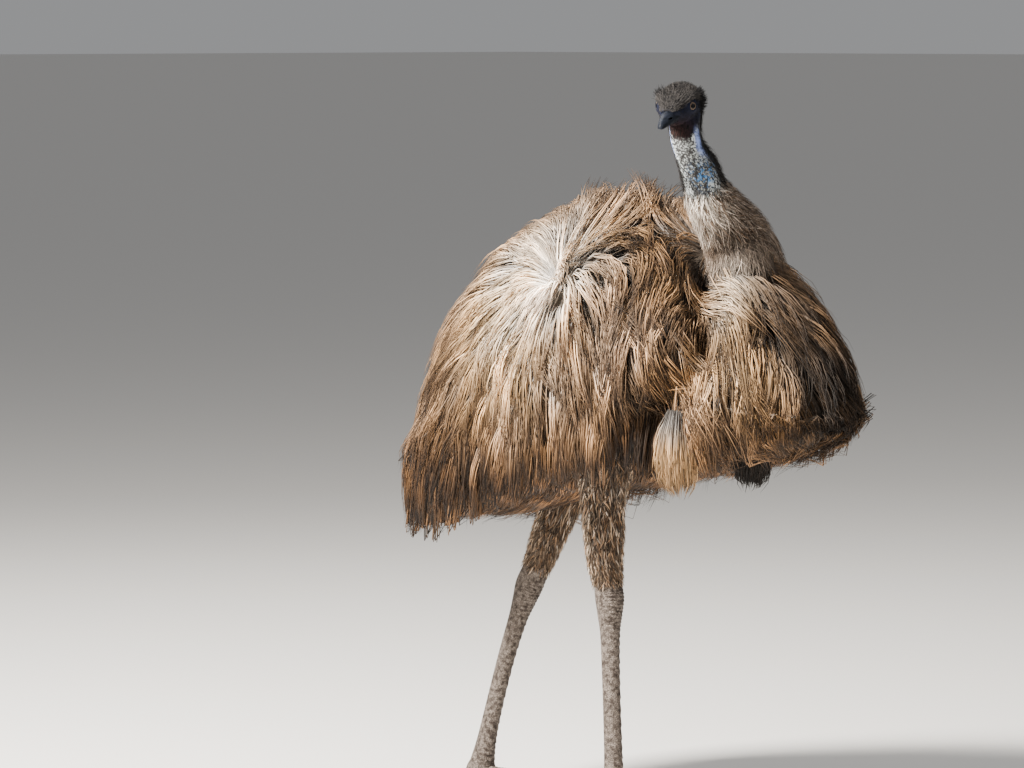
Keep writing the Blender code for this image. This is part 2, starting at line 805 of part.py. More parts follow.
def make_neck(emu, feather, neck_skin):
    rows = smooth_stations(NECK_STATIONS, 3)
    lower = neck_tube(rows, NECK_BASE_CUT + NECK_PART, NECK_MIDDLE_CUT, 7)
    neck_lower = new_object("neck_lower", lower, feather, emu)
    ruff = piece_collection("ruff")
    size = (RUFF_LENGTH, RUFF_WIDTH, RUFF_THICKNESS)
    add_tube_locks(rows, RUFF_TIERS, RUFF_LOCKS, size, ruff, feather)
    union(neck_lower, ruff)
    upper = neck_tube(rows, NECK_MIDDLE_CUT + NECK_PART, NECK_HEAD_CUT, 5)
    new_object("neck_upper", upper, neck_skin, emu)


def make_head(emu, cutters, crown, horn, eye):
    head = skull("head", crown, emu)
    pieces = piece_collection("head_pieces")
    rows = smooth_stations(NECK_STATIONS, 3)
    new_object("throat", neck_tube(rows, NECK_HEAD_CUT + NECK_PART, 1.0, 5), crown, pieces)
    for side in (-1, 1):
        along, across, up = EYE_PLACE
        lid = (along, across + 0.0075, up)
        lid_ring(f"lid_{side}", lid, side, LID_RADIUS, LID_THICKNESS, 0.86, crown, pieces)
        lid_ring(f"ear_rim_{side}", EAR_PLACE, side, EAR_RADIUS, 0.0022, 1.1, crown, pieces)
    add_crest_locks(pieces, crown)
    union(head, pieces)
    holes = []
    for side in (-1, 1):
        along, across, up = EYE_PLACE
        socket = (EYE_RADIUS + GAP * 1.5,) * 3
        holes.append(ball(f"socket_{side}", (along, side * across, up), socket, crown, cutters))
        along, across, up = EAR_PLACE
        cup = (0.0052, 0.0060, 0.0058)
        holes.append(ball(f"ear_{side}", (along, side * across, up), cup, crown, cutters, 10))
        holes.append(gape_cutter(f"gape_{side}", side, crown, cutters))
    cut(head, holes)
    for side, name in ((-1, "eye_right"), (1, "eye_left")):
        along, across, up = EYE_PLACE
        ball(name, (along, side * across, up), (EYE_RADIUS,) * 3, eye, emu)
    bill_upper = bill_half("bill_upper", UPPER_BILL_STATIONS, True, horn, emu)
    bill_half("bill_lower", LOWER_BILL_STATIONS, False, horn, emu)
    nostrils = []
    for side in (-1, 1):
        along, across, up = NOSTRIL_PLACE
        place = (along, side * across, mouth_line(along) + up)
        size = (0.0075, 0.0030, 0.0020)
        nostrils.append(ball(f"nostril_{side}", place, size, horn, cutters, 10))
    cut(bill_upper, nostrils)


def gape_cutter(name, side, material, collection):
    """A thin slit that carries the mouth line back from the bill to under the eye."""
    mesh_data = bmesh.new()
    length = BILL_BASE + 0.004 - GAPE_CORNER
    middle = GAPE_CORNER + length / 2
    size = Matrix.Diagonal((length, 0.024, 0.0008, 1.0))
    place = head_matrix(middle, side * 0.026, mouth_line(middle))
    slope = Matrix.Rotation(math.atan(MOUTH_DROP), 4, "Y")
    bmesh.ops.create_cube(mesh_data, size=1.0, matrix=place @ slope @ size)
    return new_object(name, mesh_data, material, collection)


def toe_directions(heading):
    """Forward along a toe and across it."""
    forward = Vector((math.sin(heading), -math.cos(heading), 0))
    return forward, Vector((-forward.y, forward.x, 0))


def make_toe(name, sole, heading, length, half_width, material, collection):
    """A flat-soled toe from its root to its claw, stepped into plates on top."""
    forward, side = toe_directions(heading)
    marks = []
    for i in range(TOE_SCUTES):
        marks += [(i / TOE_SCUTES, 0.0), ((i + 0.8) / TOE_SCUTES, SCUTE_STEP)]
    marks.append((1.0, 0.0))
    rings = []
    for share, rise in marks:
        root_fit = min(1.0, 0.72 + 1.6 * share)
        width = half_width * (1.0 - 0.32 * share) * root_fit
        height = half_width * (1.85 - 0.85 * share) + rise
        middle = sole + forward * (TOE_START + length * share)
        ring = []
        for k in range(7):
            angle = math.pi * k / 6
            across = side * width * signed_power(math.cos(angle), 0.75)
            up = height * math.sin(angle) ** 0.8
            ring.append(middle + across + Vector((0, 0, up)))
        rings.append(ring)
    return new_object(name, loft(rings), material, collection)


def make_claw(name, sole, heading, length, half_width, material, collection):
    forward, side = toe_directions(heading)
    start = TOE_START + length + GAP
    rings = []
    for share, size in ((0.0, 1.0), (0.3, 0.86), (0.6, 0.62), (0.85, 0.34), (1.0, 0.10)):
        height = 0.0088 - 0.0066 * share ** 1.6
        middle = sole + forward * (start + CLAW_LENGTH * share) + Vector((0, 0, height))
        ring = []
        for k in range(8):
            angle = math.tau * k / 8
            across = side * math.cos(angle) * half_width * 0.50 * size
            ring.append(middle + across + Vector((0, 0, math.sin(angle) * 0.0066 * size)))
        rings.append(ring)
    return new_object(name, loft(rings), material, collection)


def foot_pad(sole, material, collection):
    """Rounded pad under the shank with a flat sole."""
    rings = []
    for height, size in PAD_PROFILE:
        ring = []
        for k in range(16):
            angle = math.tau * k / 16
            spoke = Vector((math.cos(angle), math.sin(angle), 0)) * PAD_RADIUS * size
            ring.append(sole + spoke + Vector((0, 0, height)))
        rings.append(ring)
    return new_object("pad", loft(rings), material, collection)


def make_legs(emu, feather, scale, claw):
    for side, stations in (("right", RIGHT_LEG), ("left", LEFT_LEG)):
        rows = smooth_stations(stations, 2)
        leg = drumstick(f"drumstick_{side}", stations, 0.0, feather, emu)
        locks = piece_collection("leg_locks")
        add_tube_locks(rows, DRUMSTICK_TIERS, DRUMSTICK_LOCKS, DRUMSTICK_LOCK, locks, feather)
        union(leg, locks)
        shank_start = HOCK_CUT + 0.0006
        shank = new_object(f"shank_{side}", loft(scuted_tube(rows, shank_start, 1.0)), scale, emu)
        sole = Vector((*stations[-1][0][:2], 0.0))
        pieces = piece_collection("foot_pieces")
        foot_pad(sole, scale, pieces)
        union(shank, pieces)
        inward = -1 if side == "right" else 1
        for toe, (turn, length, half_width) in TOES.items():
            heading = FOOT_HEADINGS[side] + turn * inward
            make_toe(f"toe_{side}_{toe}", sole, heading, length, half_width, scale, emu)
            make_claw(f"claw_{side}_{toe}", sole, heading, length, half_width, claw, emu)


main()
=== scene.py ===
# %% [markdown]
# # An emu in mid-stride
# This notebook dresses the solid emu with its looks: one skin, more than eight thousand drooping
# feathers of five strands each, a finely modelled head, and scaly legs. The solids come in as a
# fixed frame, in metres, with +Z up and the bird facing -Y. We only add pieces round them and
# never move them.

# %% Load the frame
import json
import math

import bmesh
import bpy
import numpy as np
from mathutils import Matrix, Vector

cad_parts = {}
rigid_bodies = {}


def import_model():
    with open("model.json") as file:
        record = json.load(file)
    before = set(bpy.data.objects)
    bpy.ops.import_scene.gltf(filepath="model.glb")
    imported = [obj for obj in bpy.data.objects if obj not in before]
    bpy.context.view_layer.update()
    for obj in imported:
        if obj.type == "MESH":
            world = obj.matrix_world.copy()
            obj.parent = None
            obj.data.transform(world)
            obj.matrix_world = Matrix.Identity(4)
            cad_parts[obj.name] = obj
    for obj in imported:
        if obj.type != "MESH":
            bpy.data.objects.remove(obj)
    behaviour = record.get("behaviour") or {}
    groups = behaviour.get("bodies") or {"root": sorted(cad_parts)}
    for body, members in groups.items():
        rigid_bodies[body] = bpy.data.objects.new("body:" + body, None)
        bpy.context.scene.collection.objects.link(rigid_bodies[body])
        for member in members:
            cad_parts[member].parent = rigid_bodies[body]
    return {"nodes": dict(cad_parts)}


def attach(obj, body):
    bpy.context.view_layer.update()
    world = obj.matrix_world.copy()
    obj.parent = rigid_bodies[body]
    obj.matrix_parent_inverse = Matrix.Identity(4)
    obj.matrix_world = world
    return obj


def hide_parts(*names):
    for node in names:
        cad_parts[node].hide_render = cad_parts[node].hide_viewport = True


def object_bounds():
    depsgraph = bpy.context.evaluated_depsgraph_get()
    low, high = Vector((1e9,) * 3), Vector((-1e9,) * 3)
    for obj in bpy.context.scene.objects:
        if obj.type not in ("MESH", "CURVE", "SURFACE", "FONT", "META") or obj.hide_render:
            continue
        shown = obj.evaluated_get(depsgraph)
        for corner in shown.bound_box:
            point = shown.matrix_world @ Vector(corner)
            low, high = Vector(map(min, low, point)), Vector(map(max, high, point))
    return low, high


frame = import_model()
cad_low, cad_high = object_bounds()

SEED = 36
BODY = "root"
print("solids:", len(frame["nodes"]), "box:", [round(v, 3) for v in (*cad_low, *cad_high)])

# %% [markdown]
# ## Camera
# The photograph was taken from far away with a long lens, from the bird's front right, a little
# above the height of its head. A 180 mm lens at 9.5 m keeps that flat, calm perspective.

# %% Place the camera
CAMERA_AZIMUTH = math.radians(-45)
CAMERA_ELEVATION = math.radians(4)
CAMERA_DISTANCE = 9.5
CAMERA_LENS = 180
SENSOR_WIDTH = 36
CAMERA_TARGET = Vector((-0.1574, 0.1574, 0.8016))


def view_direction(azimuth, elevation):
    """Unit vector from the bird towards a camera."""
    level = math.cos(elevation)
    return Vector((math.sin(azimuth) * level, -math.cos(azimuth) * level, math.sin(elevation)))


def look_at(obj, place, target):
    obj.location = place
    obj.rotation_euler = (target - place).to_track_quat("-Z", "Y").to_euler()


camera = bpy.data.objects.new("camera", bpy.data.cameras.new("camera"))
camera.data.lens = CAMERA_LENS
camera.data.sensor_width = SENSOR_WIDTH
to_camera = view_direction(CAMERA_AZIMUTH, CAMERA_ELEVATION)
look_at(camera, CAMERA_TARGET + to_camera * CAMERA_DISTANCE, CAMERA_TARGET)
bpy.context.scene.collection.objects.link(camera)
bpy.context.scene.camera = camera
print("camera height:", round(camera.location.z, 2), "m")

# %% [markdown]
# ## Floor and light
# A plain pale floor and soft studio light. The key light is large and stands high on the
# camera's left, where the photographed sun was, so that the whorl on the flank is the
# brightest place and the breast on the right falls into shade.

# %% Floor and lights
FLOOR_SIZE = 400.0
FLOOR_COLOUR = (0.72, 0.70, 0.67, 1.0)
LIGHT_AIM = Vector((0.0, 0.0, 0.85))
SKY_COLOUR = (0.90, 0.91, 0.93, 1.0)
SKY_STRENGTH = 0.34


def plain_material(name, colour, roughness):
    material = bpy.data.materials.new(name)
    material.use_nodes = True
    shader = material.node_tree.nodes["Principled BSDF"]
    shader.inputs["Base Color"].default_value = colour
    shader.inputs["Roughness"].default_value = roughness
    return material


def area_light(name, azimuth, elevation, distance, size, power, colour):
    data = bpy.data.lights.new(name, "AREA")
    data.size = size
    data.energy = power
    data.color = colour
    light = bpy.data.objects.new(name, data)
    direction = view_direction(math.radians(azimuth), math.radians(elevation))
    look_at(light, LIGHT_AIM + direction * distance, LIGHT_AIM)
    bpy.context.scene.collection.objects.link(light)


def make_floor():
    """A wide floor that runs out to the horizon."""
    mesh_data = bmesh.new()
    bmesh.ops.create_grid(mesh_data, x_segments=2, y_segments=2, size=FLOOR_SIZE / 2)
    mesh = bpy.data.meshes.new("floor")
    mesh_data.to_mesh(mesh)
    mesh_data.free()
    mesh.materials.append(plain_material("pale_floor", FLOOR_COLOUR, 0.9))
    floor = bpy.data.objects.new("floor", mesh)
    bpy.context.scene.collection.objects.link(floor)


make_floor()
area_light("key", -104, 45, 4.2, 1.0, 1290, (1.0, 0.955, 0.89))
area_light("fill", 20, 22, 5.0, 3.5, 40, (0.93, 0.96, 1.0))
area_light("rim", 150, 40, 4.5, 2.0, 90, (1.0, 0.98, 0.95))
world = bpy.data.worlds.new("studio")
bpy.context.scene.world = world
world.use_nodes = True
sky = world.node_tree.nodes["Background"]
sky.inputs["Color"].default_value = SKY_COLOUR
sky.inputs["Strength"].default_value = SKY_STRENGTH

# %% [markdown]
# ## The outer form of the plumage
# The coat's outside is an egg about a metre long with an arched back: at each station along
# the body the section is a superellipse. The same rule as in the solids gives us the surface,
# its normal, and a way to settle any point on it. Everything is written for whole arrays of
# points at once, because tens of thousands of plumes will ask for it.

# %% The form as functions of arrays
FORM_FRONT = 0.542
FORM_REAR = 0.486
FORM_MID_Y = 0.011
FORM_HALF_WIDTH = 0.309
FORM_RISE = 0.373
FORM_DROP = 0.214
FORM_WIDEST_Z = 0.798
FORM_SLOPE = 0.041
FORM_ARCH = 0.117
FORM_BLUNTNESS = 1.915
ROOF_POWER = 2.0
HEM_POWER = 2.338
REAR_HIGHER = 0.108
REAR_DEEPER = 0.250
REAR_SQUARER = 0.754


def form_sizes(y, inset=0.0):
    """Fullness, centre height, half width, rise, drop and hem power at stations y."""
    reach = np.where(y < FORM_MID_Y, FORM_FRONT, FORM_REAR) - inset
    along = (y - FORM_MID_Y) / reach
    centre = FORM_WIDEST_Z - FORM_SLOPE * along - FORM_ARCH * along * along
    spare = 1.0 - np.abs(along) ** FORM_BLUNTNESS
    rise = FORM_RISE * (1 + REAR_HIGHER * along) - inset
    drop = FORM_DROP * (1 + REAR_DEEPER * along) - inset
    hem = np.maximum(1.8, HEM_POWER + REAR_SQUARER * along)
    return spare, centre, FORM_HALF_WIDTH - inset, rise, drop, hem


def form_point(y, angle, inset=0.0):
    """Points of the form; the angle is 0 at the spine and grows to the left side."""
    spare, centre, half_width, rise, drop, hem = form_sizes(y, inset)
    cosine, sine = np.cos(angle), np.sin(angle)
    power = np.where(cosine > 0, ROOF_POWER, hem)
    size = np.maximum(spare, 0.0) ** (1 / power)
    across = half_width * size * np.sign(sine) * np.abs(sine) ** (2 / power)
    up = np.where(cosine > 0, rise, drop) * size
    up = up * np.sign(cosine) * np.abs(cosine) ** (2 / power)
    return np.stack([across, y + 0 * across, centre + up], axis=-1)


def form_fill(points):
    """1 on the form, less inside it."""
    x, y, z = points[..., 0], points[..., 1], points[..., 2]
    spare, centre, half_width, rise, drop, hem = form_sizes(y)
    high = z > centre
    power = np.where(high, ROOF_POWER, hem)
    up = (z - centre) / np.where(high, rise, drop)
    return 1 - spare + np.abs(x / half_width) ** power + np.abs(up) ** power


def unit(vectors):
    length = np.linalg.norm(vectors, axis=-1, keepdims=True)
    return vectors / np.maximum(length, 1e-9)


def form_normal(points):
    step = 0.002
    slope = np.stack([
        form_fill(points + step * axis) - form_fill(points - step * axis) for axis in np.eye(3)
    ], axis=-1)
    return unit(slope)


def settle(points):
    """The points moved along their normals on to the form."""
    for _ in range(3):
        normal = form_normal(points)
        fill = form_fill(points)
        rate = (form_fill(points + 0.004 * normal) - fill) / 0.004
        move = np.clip((1.0 - fill) / np.maximum(rate, 1.0), -0.05, 0.05)
        points = points + normal * move[..., None]
    return points


top_of_back = form_point(np.array([0.1]), np.array([0.0]))[0]
print("back stands", round(float(top_of_back[2]), 3), "m high")

# %% [markdown]
# ## How the coat lies
# Emu plumes part along the spine and hang down the sides. Wind has opened a pale whorl on the
# right flank and a smaller one at the shoulder, and the plumes round the neck fan outwards.
# The lie is one flow over the form: gravity plus a push away from each of these centres. A
# whirl is a centre, the strength of its push, its size, and how much it swirls. The valley is
# the fold between the flank and the breast.

# %% The lie of the plumes
FLANK_WHORL = np.array([-0.241, 0.015, 1.030])
SHOULDER_WHORL = np.array([-0.160, -0.285, 1.003])
NECK_ROOT = np.array([-0.004, -0.270, 1.075])
DOWN = np.array([0.0, 0.0, -1.0])
SWEPT_BACK = 0.26
WHIRLS = (
    (FLANK_WHORL, 2.4, 0.27, 0.0), (SHOULDER_WHORL, 1.0, 0.11, 0.5), (NECK_ROOT, 1.7, 0.24, 0.0),
)
VALLEY = np.array([
    [-0.083, -0.268, 1.070], [-0.128, -0.305, 1.022], [-0.198, -0.351, 0.895],
    [-0.230, -0.332, 0.828], [-0.250, -0.298, 0.785], [-0.252, -0.262, 0.738],
    [-0.200, -0.190, 0.670], [-0.145, -0.163, 0.637],
])


def hang(points):
    """Downwards, swept back along the flank and a little forwards on the breast."""
    flow = np.broadcast_to(DOWN, points.shape).copy()
    flow[..., 1] = SWEPT_BACK * np.clip((points[..., 1] + 0.22) / 0.25, -0.7, 1.0)
    return flow


def lie(points, normals):
    """Unit directions in which the coat lies at points of the form."""
    flow = hang(points)
    for centre, strength, size, swirl in WHIRLS:
        away = points - centre
        distance = np.linalg.norm(away, axis=-1, keepdims=True)
        push = unit(away) + swirl * unit(np.cross(away, normals))
        flow += push * strength * np.exp(-((distance / size) ** 2))
    flow -= normals * np.sum(flow * normals, axis=-1, keepdims=True)
    return unit(flow)


def near(points, centre, size):
    """1 at a centre, fading away over a size."""
    distance = np.linalg.norm(points - np.asarray(centre), axis=-1)
    return np.exp(-((distance / size) ** 2))


def distance_to_path(points, path):
    """How far each point is from a path of straight pieces."""
    best = np.full(points.shape[:-1], 9.0)
    for a, b in zip(path, path[1:]):
        share = np.clip(((points - a) @ (b - a)) / ((b - a) @ (b - a)), 0, 1)
        gap = np.linalg.norm(points - a - share[..., None] * (b - a), axis=-1)
        best = np.minimum(best, gap)
    return best


FOLD_WIDTH = 0.032
FOLD_DEPTH = 0.062


def valley(points, width=FOLD_WIDTH):
    """1 in the fold between the breast and the flank, fading out beside it."""
    return np.exp(-((distance_to_path(points, VALLEY) / width) ** 2))


def sunk(points):
    """How far the coat lies below the outer form: the fold and softer hollows."""
    hollow = FOLD_DEPTH * valley(points)
    hollow += 0.016 * near(points, FLANK_WHORL, 0.045)
    hollow += 0.012 * near(points, SHOULDER_WHORL, 0.030)
    return hollow


print("whorls:", len(WHIRLS), "fold length:", round(float(sum(
    np.linalg.norm(b - a) for a, b in zip(VALLEY, VALLEY[1:]))), 2), "m")

# %% [markdown]
# ## Tubes for the neck and legs
# The neck and legs follow smooth paths through a few stations. A Catmull-Rom spline passes
# through every station, and each ring is set square to the path. A neck station is a place and
# a radius, a leg station a place, a half width and a half depth.

# %% Smooth paths and rings
NECK_STATIONS = (
    (0.035, -0.255, 0.960, 0.082), (0.012, -0.268, 1.040, 0.068),
    (-0.014, -0.270, 1.086, 0.058), (-0.039, -0.271, 1.111, 0.052),
    (-0.072, -0.270, 1.144, 0.0440), (-0.095, -0.272, 1.170, 0.0390),
    (-0.124, -0.282, 1.210, 0.0350), (-0.1506, -0.2834, 1.245, 0.0270),
    (-0.1600, -0.2820, 1.280, 0.0265), (-0.152, -0.276, 1.318, 0.0270),
)
RIGHT_LEG = (
    (-0.172, -0.100, 0.715, 0.052, 0.060), (-0.166, -0.090, 0.655, 0.046, 0.052),
    (-0.157, -0.077, 0.601, 0.038, 0.042), (-0.146, -0.069, 0.541, 0.035, 0.038),
    (-0.137, -0.063, 0.488, 0.031, 0.034), (-0.129, -0.062, 0.447, 0.0255, 0.0285),
    (-0.1255, -0.0636, 0.417, 0.0260, 0.0290), (-0.1257, -0.0645, 0.385, 0.0225, 0.0245),
    (-0.1262, -0.0657, 0.349, 0.0180, 0.0200), (-0.1290, -0.0710, 0.267, 0.0165, 0.0182),
    (-0.1320, -0.0790, 0.150, 0.0165, 0.0186), (-0.1340, -0.0830, 0.080, 0.0190, 0.0210),
    (-0.1345, -0.0845, 0.020, 0.0260, 0.0280),
)
LEFT_LEG = (
    (0.132, 0.215, 0.715, 0.052, 0.060), (0.130, 0.245, 0.655, 0.046, 0.052),
    (0.127, 0.278, 0.600, 0.038, 0.042), (0.125, 0.318, 0.5275, 0.035, 0.038),
    (0.123, 0.343, 0.477, 0.031, 0.034), (0.1215, 0.367, 0.427, 0.0255, 0.0285),
    (0.1180, 0.386, 0.388, 0.0260, 0.0290), (0.1155, 0.398, 0.357, 0.0225, 0.0245),
    (0.1125, 0.413, 0.318, 0.0180, 0.0200), (0.1100, 0.442, 0.240, 0.0165, 0.0182),
    (0.1090, 0.475, 0.140, 0.0165, 0.0186), (0.1080, 0.494, 0.073, 0.0190, 0.0210),
    (0.1080, 0.508, 0.020, 0.0260, 0.0280),
)
HOCK_SHARE = 5 / 12
FRONT = np.array([0.0, -1.0, 0.0])


def smooth_path(stations, per_span=6):
    """Rows of values on a Catmull-Rom spline through the stations."""
    rows = np.array(stations, float)
    padded = np.vstack([2 * rows[0] - rows[1], rows, 2 * rows[-1] - rows[-2]])
    found = []
    for i in range(len(rows) - 1):
        p0, p1, p2, p3 = padded[i : i + 4]
        for k in range(per_span):
            t = k / per_span
            found.append(0.5 * (2 * p1 + (p2 - p0) * t + (2 * p0 - 5 * p1 + 4 * p2 - p3) * t * t
                                + (3 * p1 - p0 - 3 * p2 + p3) * t ** 3))
    found.append(rows[-1])
    return np.array(found)


def along_path(rows, shares):
    """Rows at shares of the way along, from 0 to 1."""
    place = np.clip(np.asarray(shares, float), 0, 1) * (len(rows) - 1)
    low = np.minimum(place.astype(int), len(rows) - 2)
    mix = (place - low)[..., None]
    return rows[low] * (1 - mix) + rows[low + 1] * mix


def tube_frame(rows, shares):
    """Centres, directions across and forward, half widths and half depths along a tube."""
    here = along_path(rows, shares)
    axis = unit(along_path(rows, shares + 0.01)[..., :3] - along_path(rows, shares - 0.01)[..., :3])
    side = unit(np.cross(FRONT, axis))
    forward = unit(np.cross(axis, side))
    return here[..., :3], side, forward, here[..., 3], here[..., -1]


def tube_point(rows, shares, turns, grow=0.0):
    """Points on a tube and their outward normals; the turn is 0 in front."""
    centre, side, forward, half_width, half_depth = tube_frame(rows, shares)
    spoke = side * (np.sin(turns) * half_width)[..., None]
    spoke = spoke + forward * (np.cos(turns) * half_depth)[..., None]
    normal = unit(spoke)
    return centre + spoke + normal * np.asarray(grow)[..., None], normal


LOW_THROAT = np.array([-0.55, -0.83, 0.0])
HIGH_THROAT = np.array([-0.917, -0.399, 0.0])


def throat_side(points):
    """1 on the throat, -1 on the nape: the neck turns with the head above."""
    axis = neck_rows[:, :3]
    gap = np.linalg.norm(points[..., None, :] - axis, axis=-1)
    offset = points - axis[gap.argmin(-1)]
    high = np.clip((points[..., 2] - 1.08) / 0.16, 0, 1)[..., None]
    throat = unit((1 - high) * LOW_THROAT + high * HIGH_THROAT)
    return np.sum(unit(offset * np.array([1, 1, 0.3])) * throat, axis=-1)


neck_rows = smooth_path(NECK_STATIONS)
leg_rows = {"right": smooth_path(RIGHT_LEG), "left": smooth_path(LEFT_LEG)}
print("neck rows:", len(neck_rows), "leg rows:", len(leg_rows["right"]))

# %% [markdown]
# ## Meshes from rings
# A lofted surface is a stack of rings joined by quads and closed at both ends. It is the
# quickest way to a clean closed body part, and its rows can carry relief such as scutes.

# %% Loft, union and remesh helpers
def link(name, mesh):
    obj = bpy.data.objects.new(name, mesh)
    bpy.context.scene.collection.objects.link(obj)
    return obj


def mesh_piece(name, mesh_data):
    """An object from editable mesh data, which is freed."""
    mesh = bpy.data.meshes.new(name)
    mesh_data.to_mesh(mesh)
    mesh_data.free()
    return link(name, mesh)


def loft(name, rings):
    """A closed mesh object through rings of equally many points (rows, sides, 3)."""
    rings = np.asarray(rings, float)
    count, sides = rings.shape[:2]
    ends = rings[[0, -1]].mean(axis=1)
    points = np.vstack([rings.reshape(-1, 3), ends])
    faces = []
    for i in range(count - 1):
        for k in range(sides):
            j = (k + 1) % sides
            faces.append((i * sides + k, i * sides + j, (i + 1) * sides + j, (i + 1) * sides + k))
    for k in range(sides):
        j = (k + 1) % sides
        faces.append((k, j, count * sides))
        faces.append(((count - 1) * sides + k, (count - 1) * sides + j, count * sides + 1))
    mesh = bpy.data.meshes.new(name)
    mesh.from_pydata(points.tolist(), [], faces)
    mesh_data = bmesh.new()
    mesh_data.from_mesh(mesh)
    bmesh.ops.recalc_face_normals(mesh_data, faces=mesh_data.faces)
    mesh_data.to_mesh(mesh)
    mesh_data.free()
    return link(name, mesh)


def apply_modifiers(obj):
    """Replaces the object's mesh by the one its modifiers give."""
    bpy.context.view_layer.update()
    graph = bpy.context.evaluated_depsgraph_get()
    mesh = bpy.data.meshes.new_from_object(obj.evaluated_get(graph))
    obj.modifiers.clear()
    old = obj.data
    obj.data = mesh
    bpy.data.meshes.remove(old)
    mesh.name = obj.name


def boolean(target, others, operation):
    """Joins others to the target or cuts them out of it, and removes them."""
    for other in others:
        modifier = target.modifiers.new(operation, "BOOLEAN")
        modifier.operation = operation
        modifier.solver = "MANIFOLD"
        modifier.object = other
    apply_modifiers(target)
    for other in others:
        bpy.data.objects.remove(other)


def join(name, parts):
    """One object from several, their meshes simply put together."""
    mesh_data = bmesh.new()
    for part in parts:
        mesh_data.from_mesh(part.data)
        bpy.data.objects.remove(part)
    return mesh_piece(name, mesh_data)


def remesh(obj, voxel, smooth_steps):
    """One closed surface of even quads, its junctions softened."""
    modifier = obj.modifiers.new("Remesh", "REMESH")
    modifier.mode = "VOXEL"
    modifier.voxel_size = voxel
    soften = obj.modifiers.new("Smooth", "SMOOTH")
    soften.iterations = smooth_steps
    soften.factor = 0.5
    apply_modifiers(obj)


def triangles(obj):
    obj.data.calc_loop_triangles()
    return len(obj.data.loop_triangles)


def vertices_of(mesh):
    """The places of a mesh's vertices as an array (count, 3)."""
    co = np.zeros(len(mesh.vertices) * 3, np.float32)
    mesh.vertices.foreach_get("co", co)
    return co.reshape(-1, 3).astype(float)


print("helpers ready")

# %% [markdown]
# ## The head
# The head is built in its own axes: forward to the bill tip, side to the bird's left, and up.
# Rings along it carry the brow, the cheek, the hollow before the eye and the jaw as smooth
# swellings, so that the face has real form before any feather is laid on it.

# %% Head axes and sizes
HEAD_CENTRE = np.array([-0.184, -0.282, 1.320])
HEAD_HEADING = np.array([-0.917, -0.399, 0.0])
HEAD_PITCH = math.radians(12)
SKULL_STATIONS = (
    (-0.077, 0.006, 0.007, 0.006), (-0.071, 0.0190, 0.0180, 0.0180),
    (-0.054, 0.0305, 0.0295, 0.0290), (-0.031, 0.0360, 0.0350, 0.0330),
    (-0.008, 0.0352, 0.0335, 0.0325), (0.010, 0.0300, 0.0265, 0.0295),
    (0.024, 0.0228, 0.0172, 0.0240), (0.034, 0.0180, 0.0112, 0.0200),
    (0.041, 0.0158, 0.0082, 0.0160), (0.047, 0.0115, 0.0048, 0.0110),
)
EYE_PLACE = np.array([-0.0030, 0.0250, 0.0020])
EYE_RADIUS = 0.0130
EYE_GAZE = np.array([0.60, 0.80, 0.08])
EYE_OPENING = (0.0079, 0.0070)
LID_RING = 0.0090
LID_THICKNESS = 0.0017
MOUTH_HEIGHT = -0.0085
MOUTH_DROP = 0.100
BILL_BASE = 0.0353
BILL_CURVE = 1.2
FACE_FORMS = {
    "brow": (0.0034, (-0.004, 0.027, 0.018), (0.018, 0.009, 0.006)),
    "lids": (0.0050, (0.0005, 0.031, 0.003), (0.0135, 0.012, 0.0125)),
    "lore": (-0.0034, (0.0195, 0.022, 0.003), (0.007, 0.009, 0.008)),
    "cheek": (0.0024, (-0.016, 0.028, -0.017), (0.015, 0.012, 0.010)),
    "jaw": (0.0016, (0.004, 0.026, -0.017), (0.016, 0.012, 0.005)),
    "ear": (-0.0026, (-0.042, 0.030, -0.012), (0.006, 0.012, 0.007)),
}


def head_axes():
    """Forward, side towards the bird's left, and up."""
    level = HEAD_HEADING / np.linalg.norm(HEAD_HEADING)
    up = np.array([0.0, 0.0, 1.0])
    side = np.cross(up, level)
    forward = level * math.cos(HEAD_PITCH) - up * math.sin(HEAD_PITCH)
    return np.stack([forward, side, np.cross(forward, side)])


HEAD_AXES = head_axes()


def from_head(points):
    """World places of points in the head's own axes."""
    return HEAD_CENTRE + np.asarray(points, float) @ HEAD_AXES


def to_head(points):
    """Places of world points in the head's own axes."""
    return (np.asarray(points, float) - HEAD_CENTRE) @ HEAD_AXES.T


def bump(points, centre, sizes):
    """A smooth swelling, 1 at its centre, mirrored on both sides of the head."""
    offset = np.stack([points[..., 0], np.abs(points[..., 1]), points[..., 2]], -1)
    offset = (offset - np.asarray(centre)) / np.asarray(sizes)
    return np.exp(-np.sum(offset * offset, axis=-1))


def sculpt_face(points):
    """Moves head points out or in along their spokes by the forms of the face."""
    spoke = points * np.array([0.25, 1.0, 1.0])
    height = np.zeros(points.shape[:-1])
    for rise, centre, sizes in FACE_FORMS.values():
        height += rise * bump(points, centre, sizes)
    return points + unit(spoke) * height[..., None]


def eye_axes(side):
    """Eye centre and gaze in the world, and the turn from +Z to the gaze."""
    mirror = np.array([1, -1 if side == "right" else 1, 1])
    centre = from_head(EYE_PLACE * mirror)
    gaze = unit((EYE_GAZE * mirror @ HEAD_AXES)[None])[0]
    return centre, gaze, Vector(gaze).to_track_quat("Z", "Y").to_matrix().to_4x4()


def head_rings(count=44, sides=56):
    rows = smooth_path(SKULL_STATIONS, 8)
    sizes = along_path(rows, np.linspace(0, 1, count))
    angle = np.linspace(0, math.tau, sides, endpoint=False)
    rings = []
    for along, half_width, top, bottom in sizes:
        height = np.where(np.cos(angle) > 0, top, bottom)
        ring = np.stack([
            np.full(sides, along), half_width * np.sin(angle), height * np.cos(angle),
        ], -1)
        rings.append(from_head(sculpt_face(ring)))
    return rings


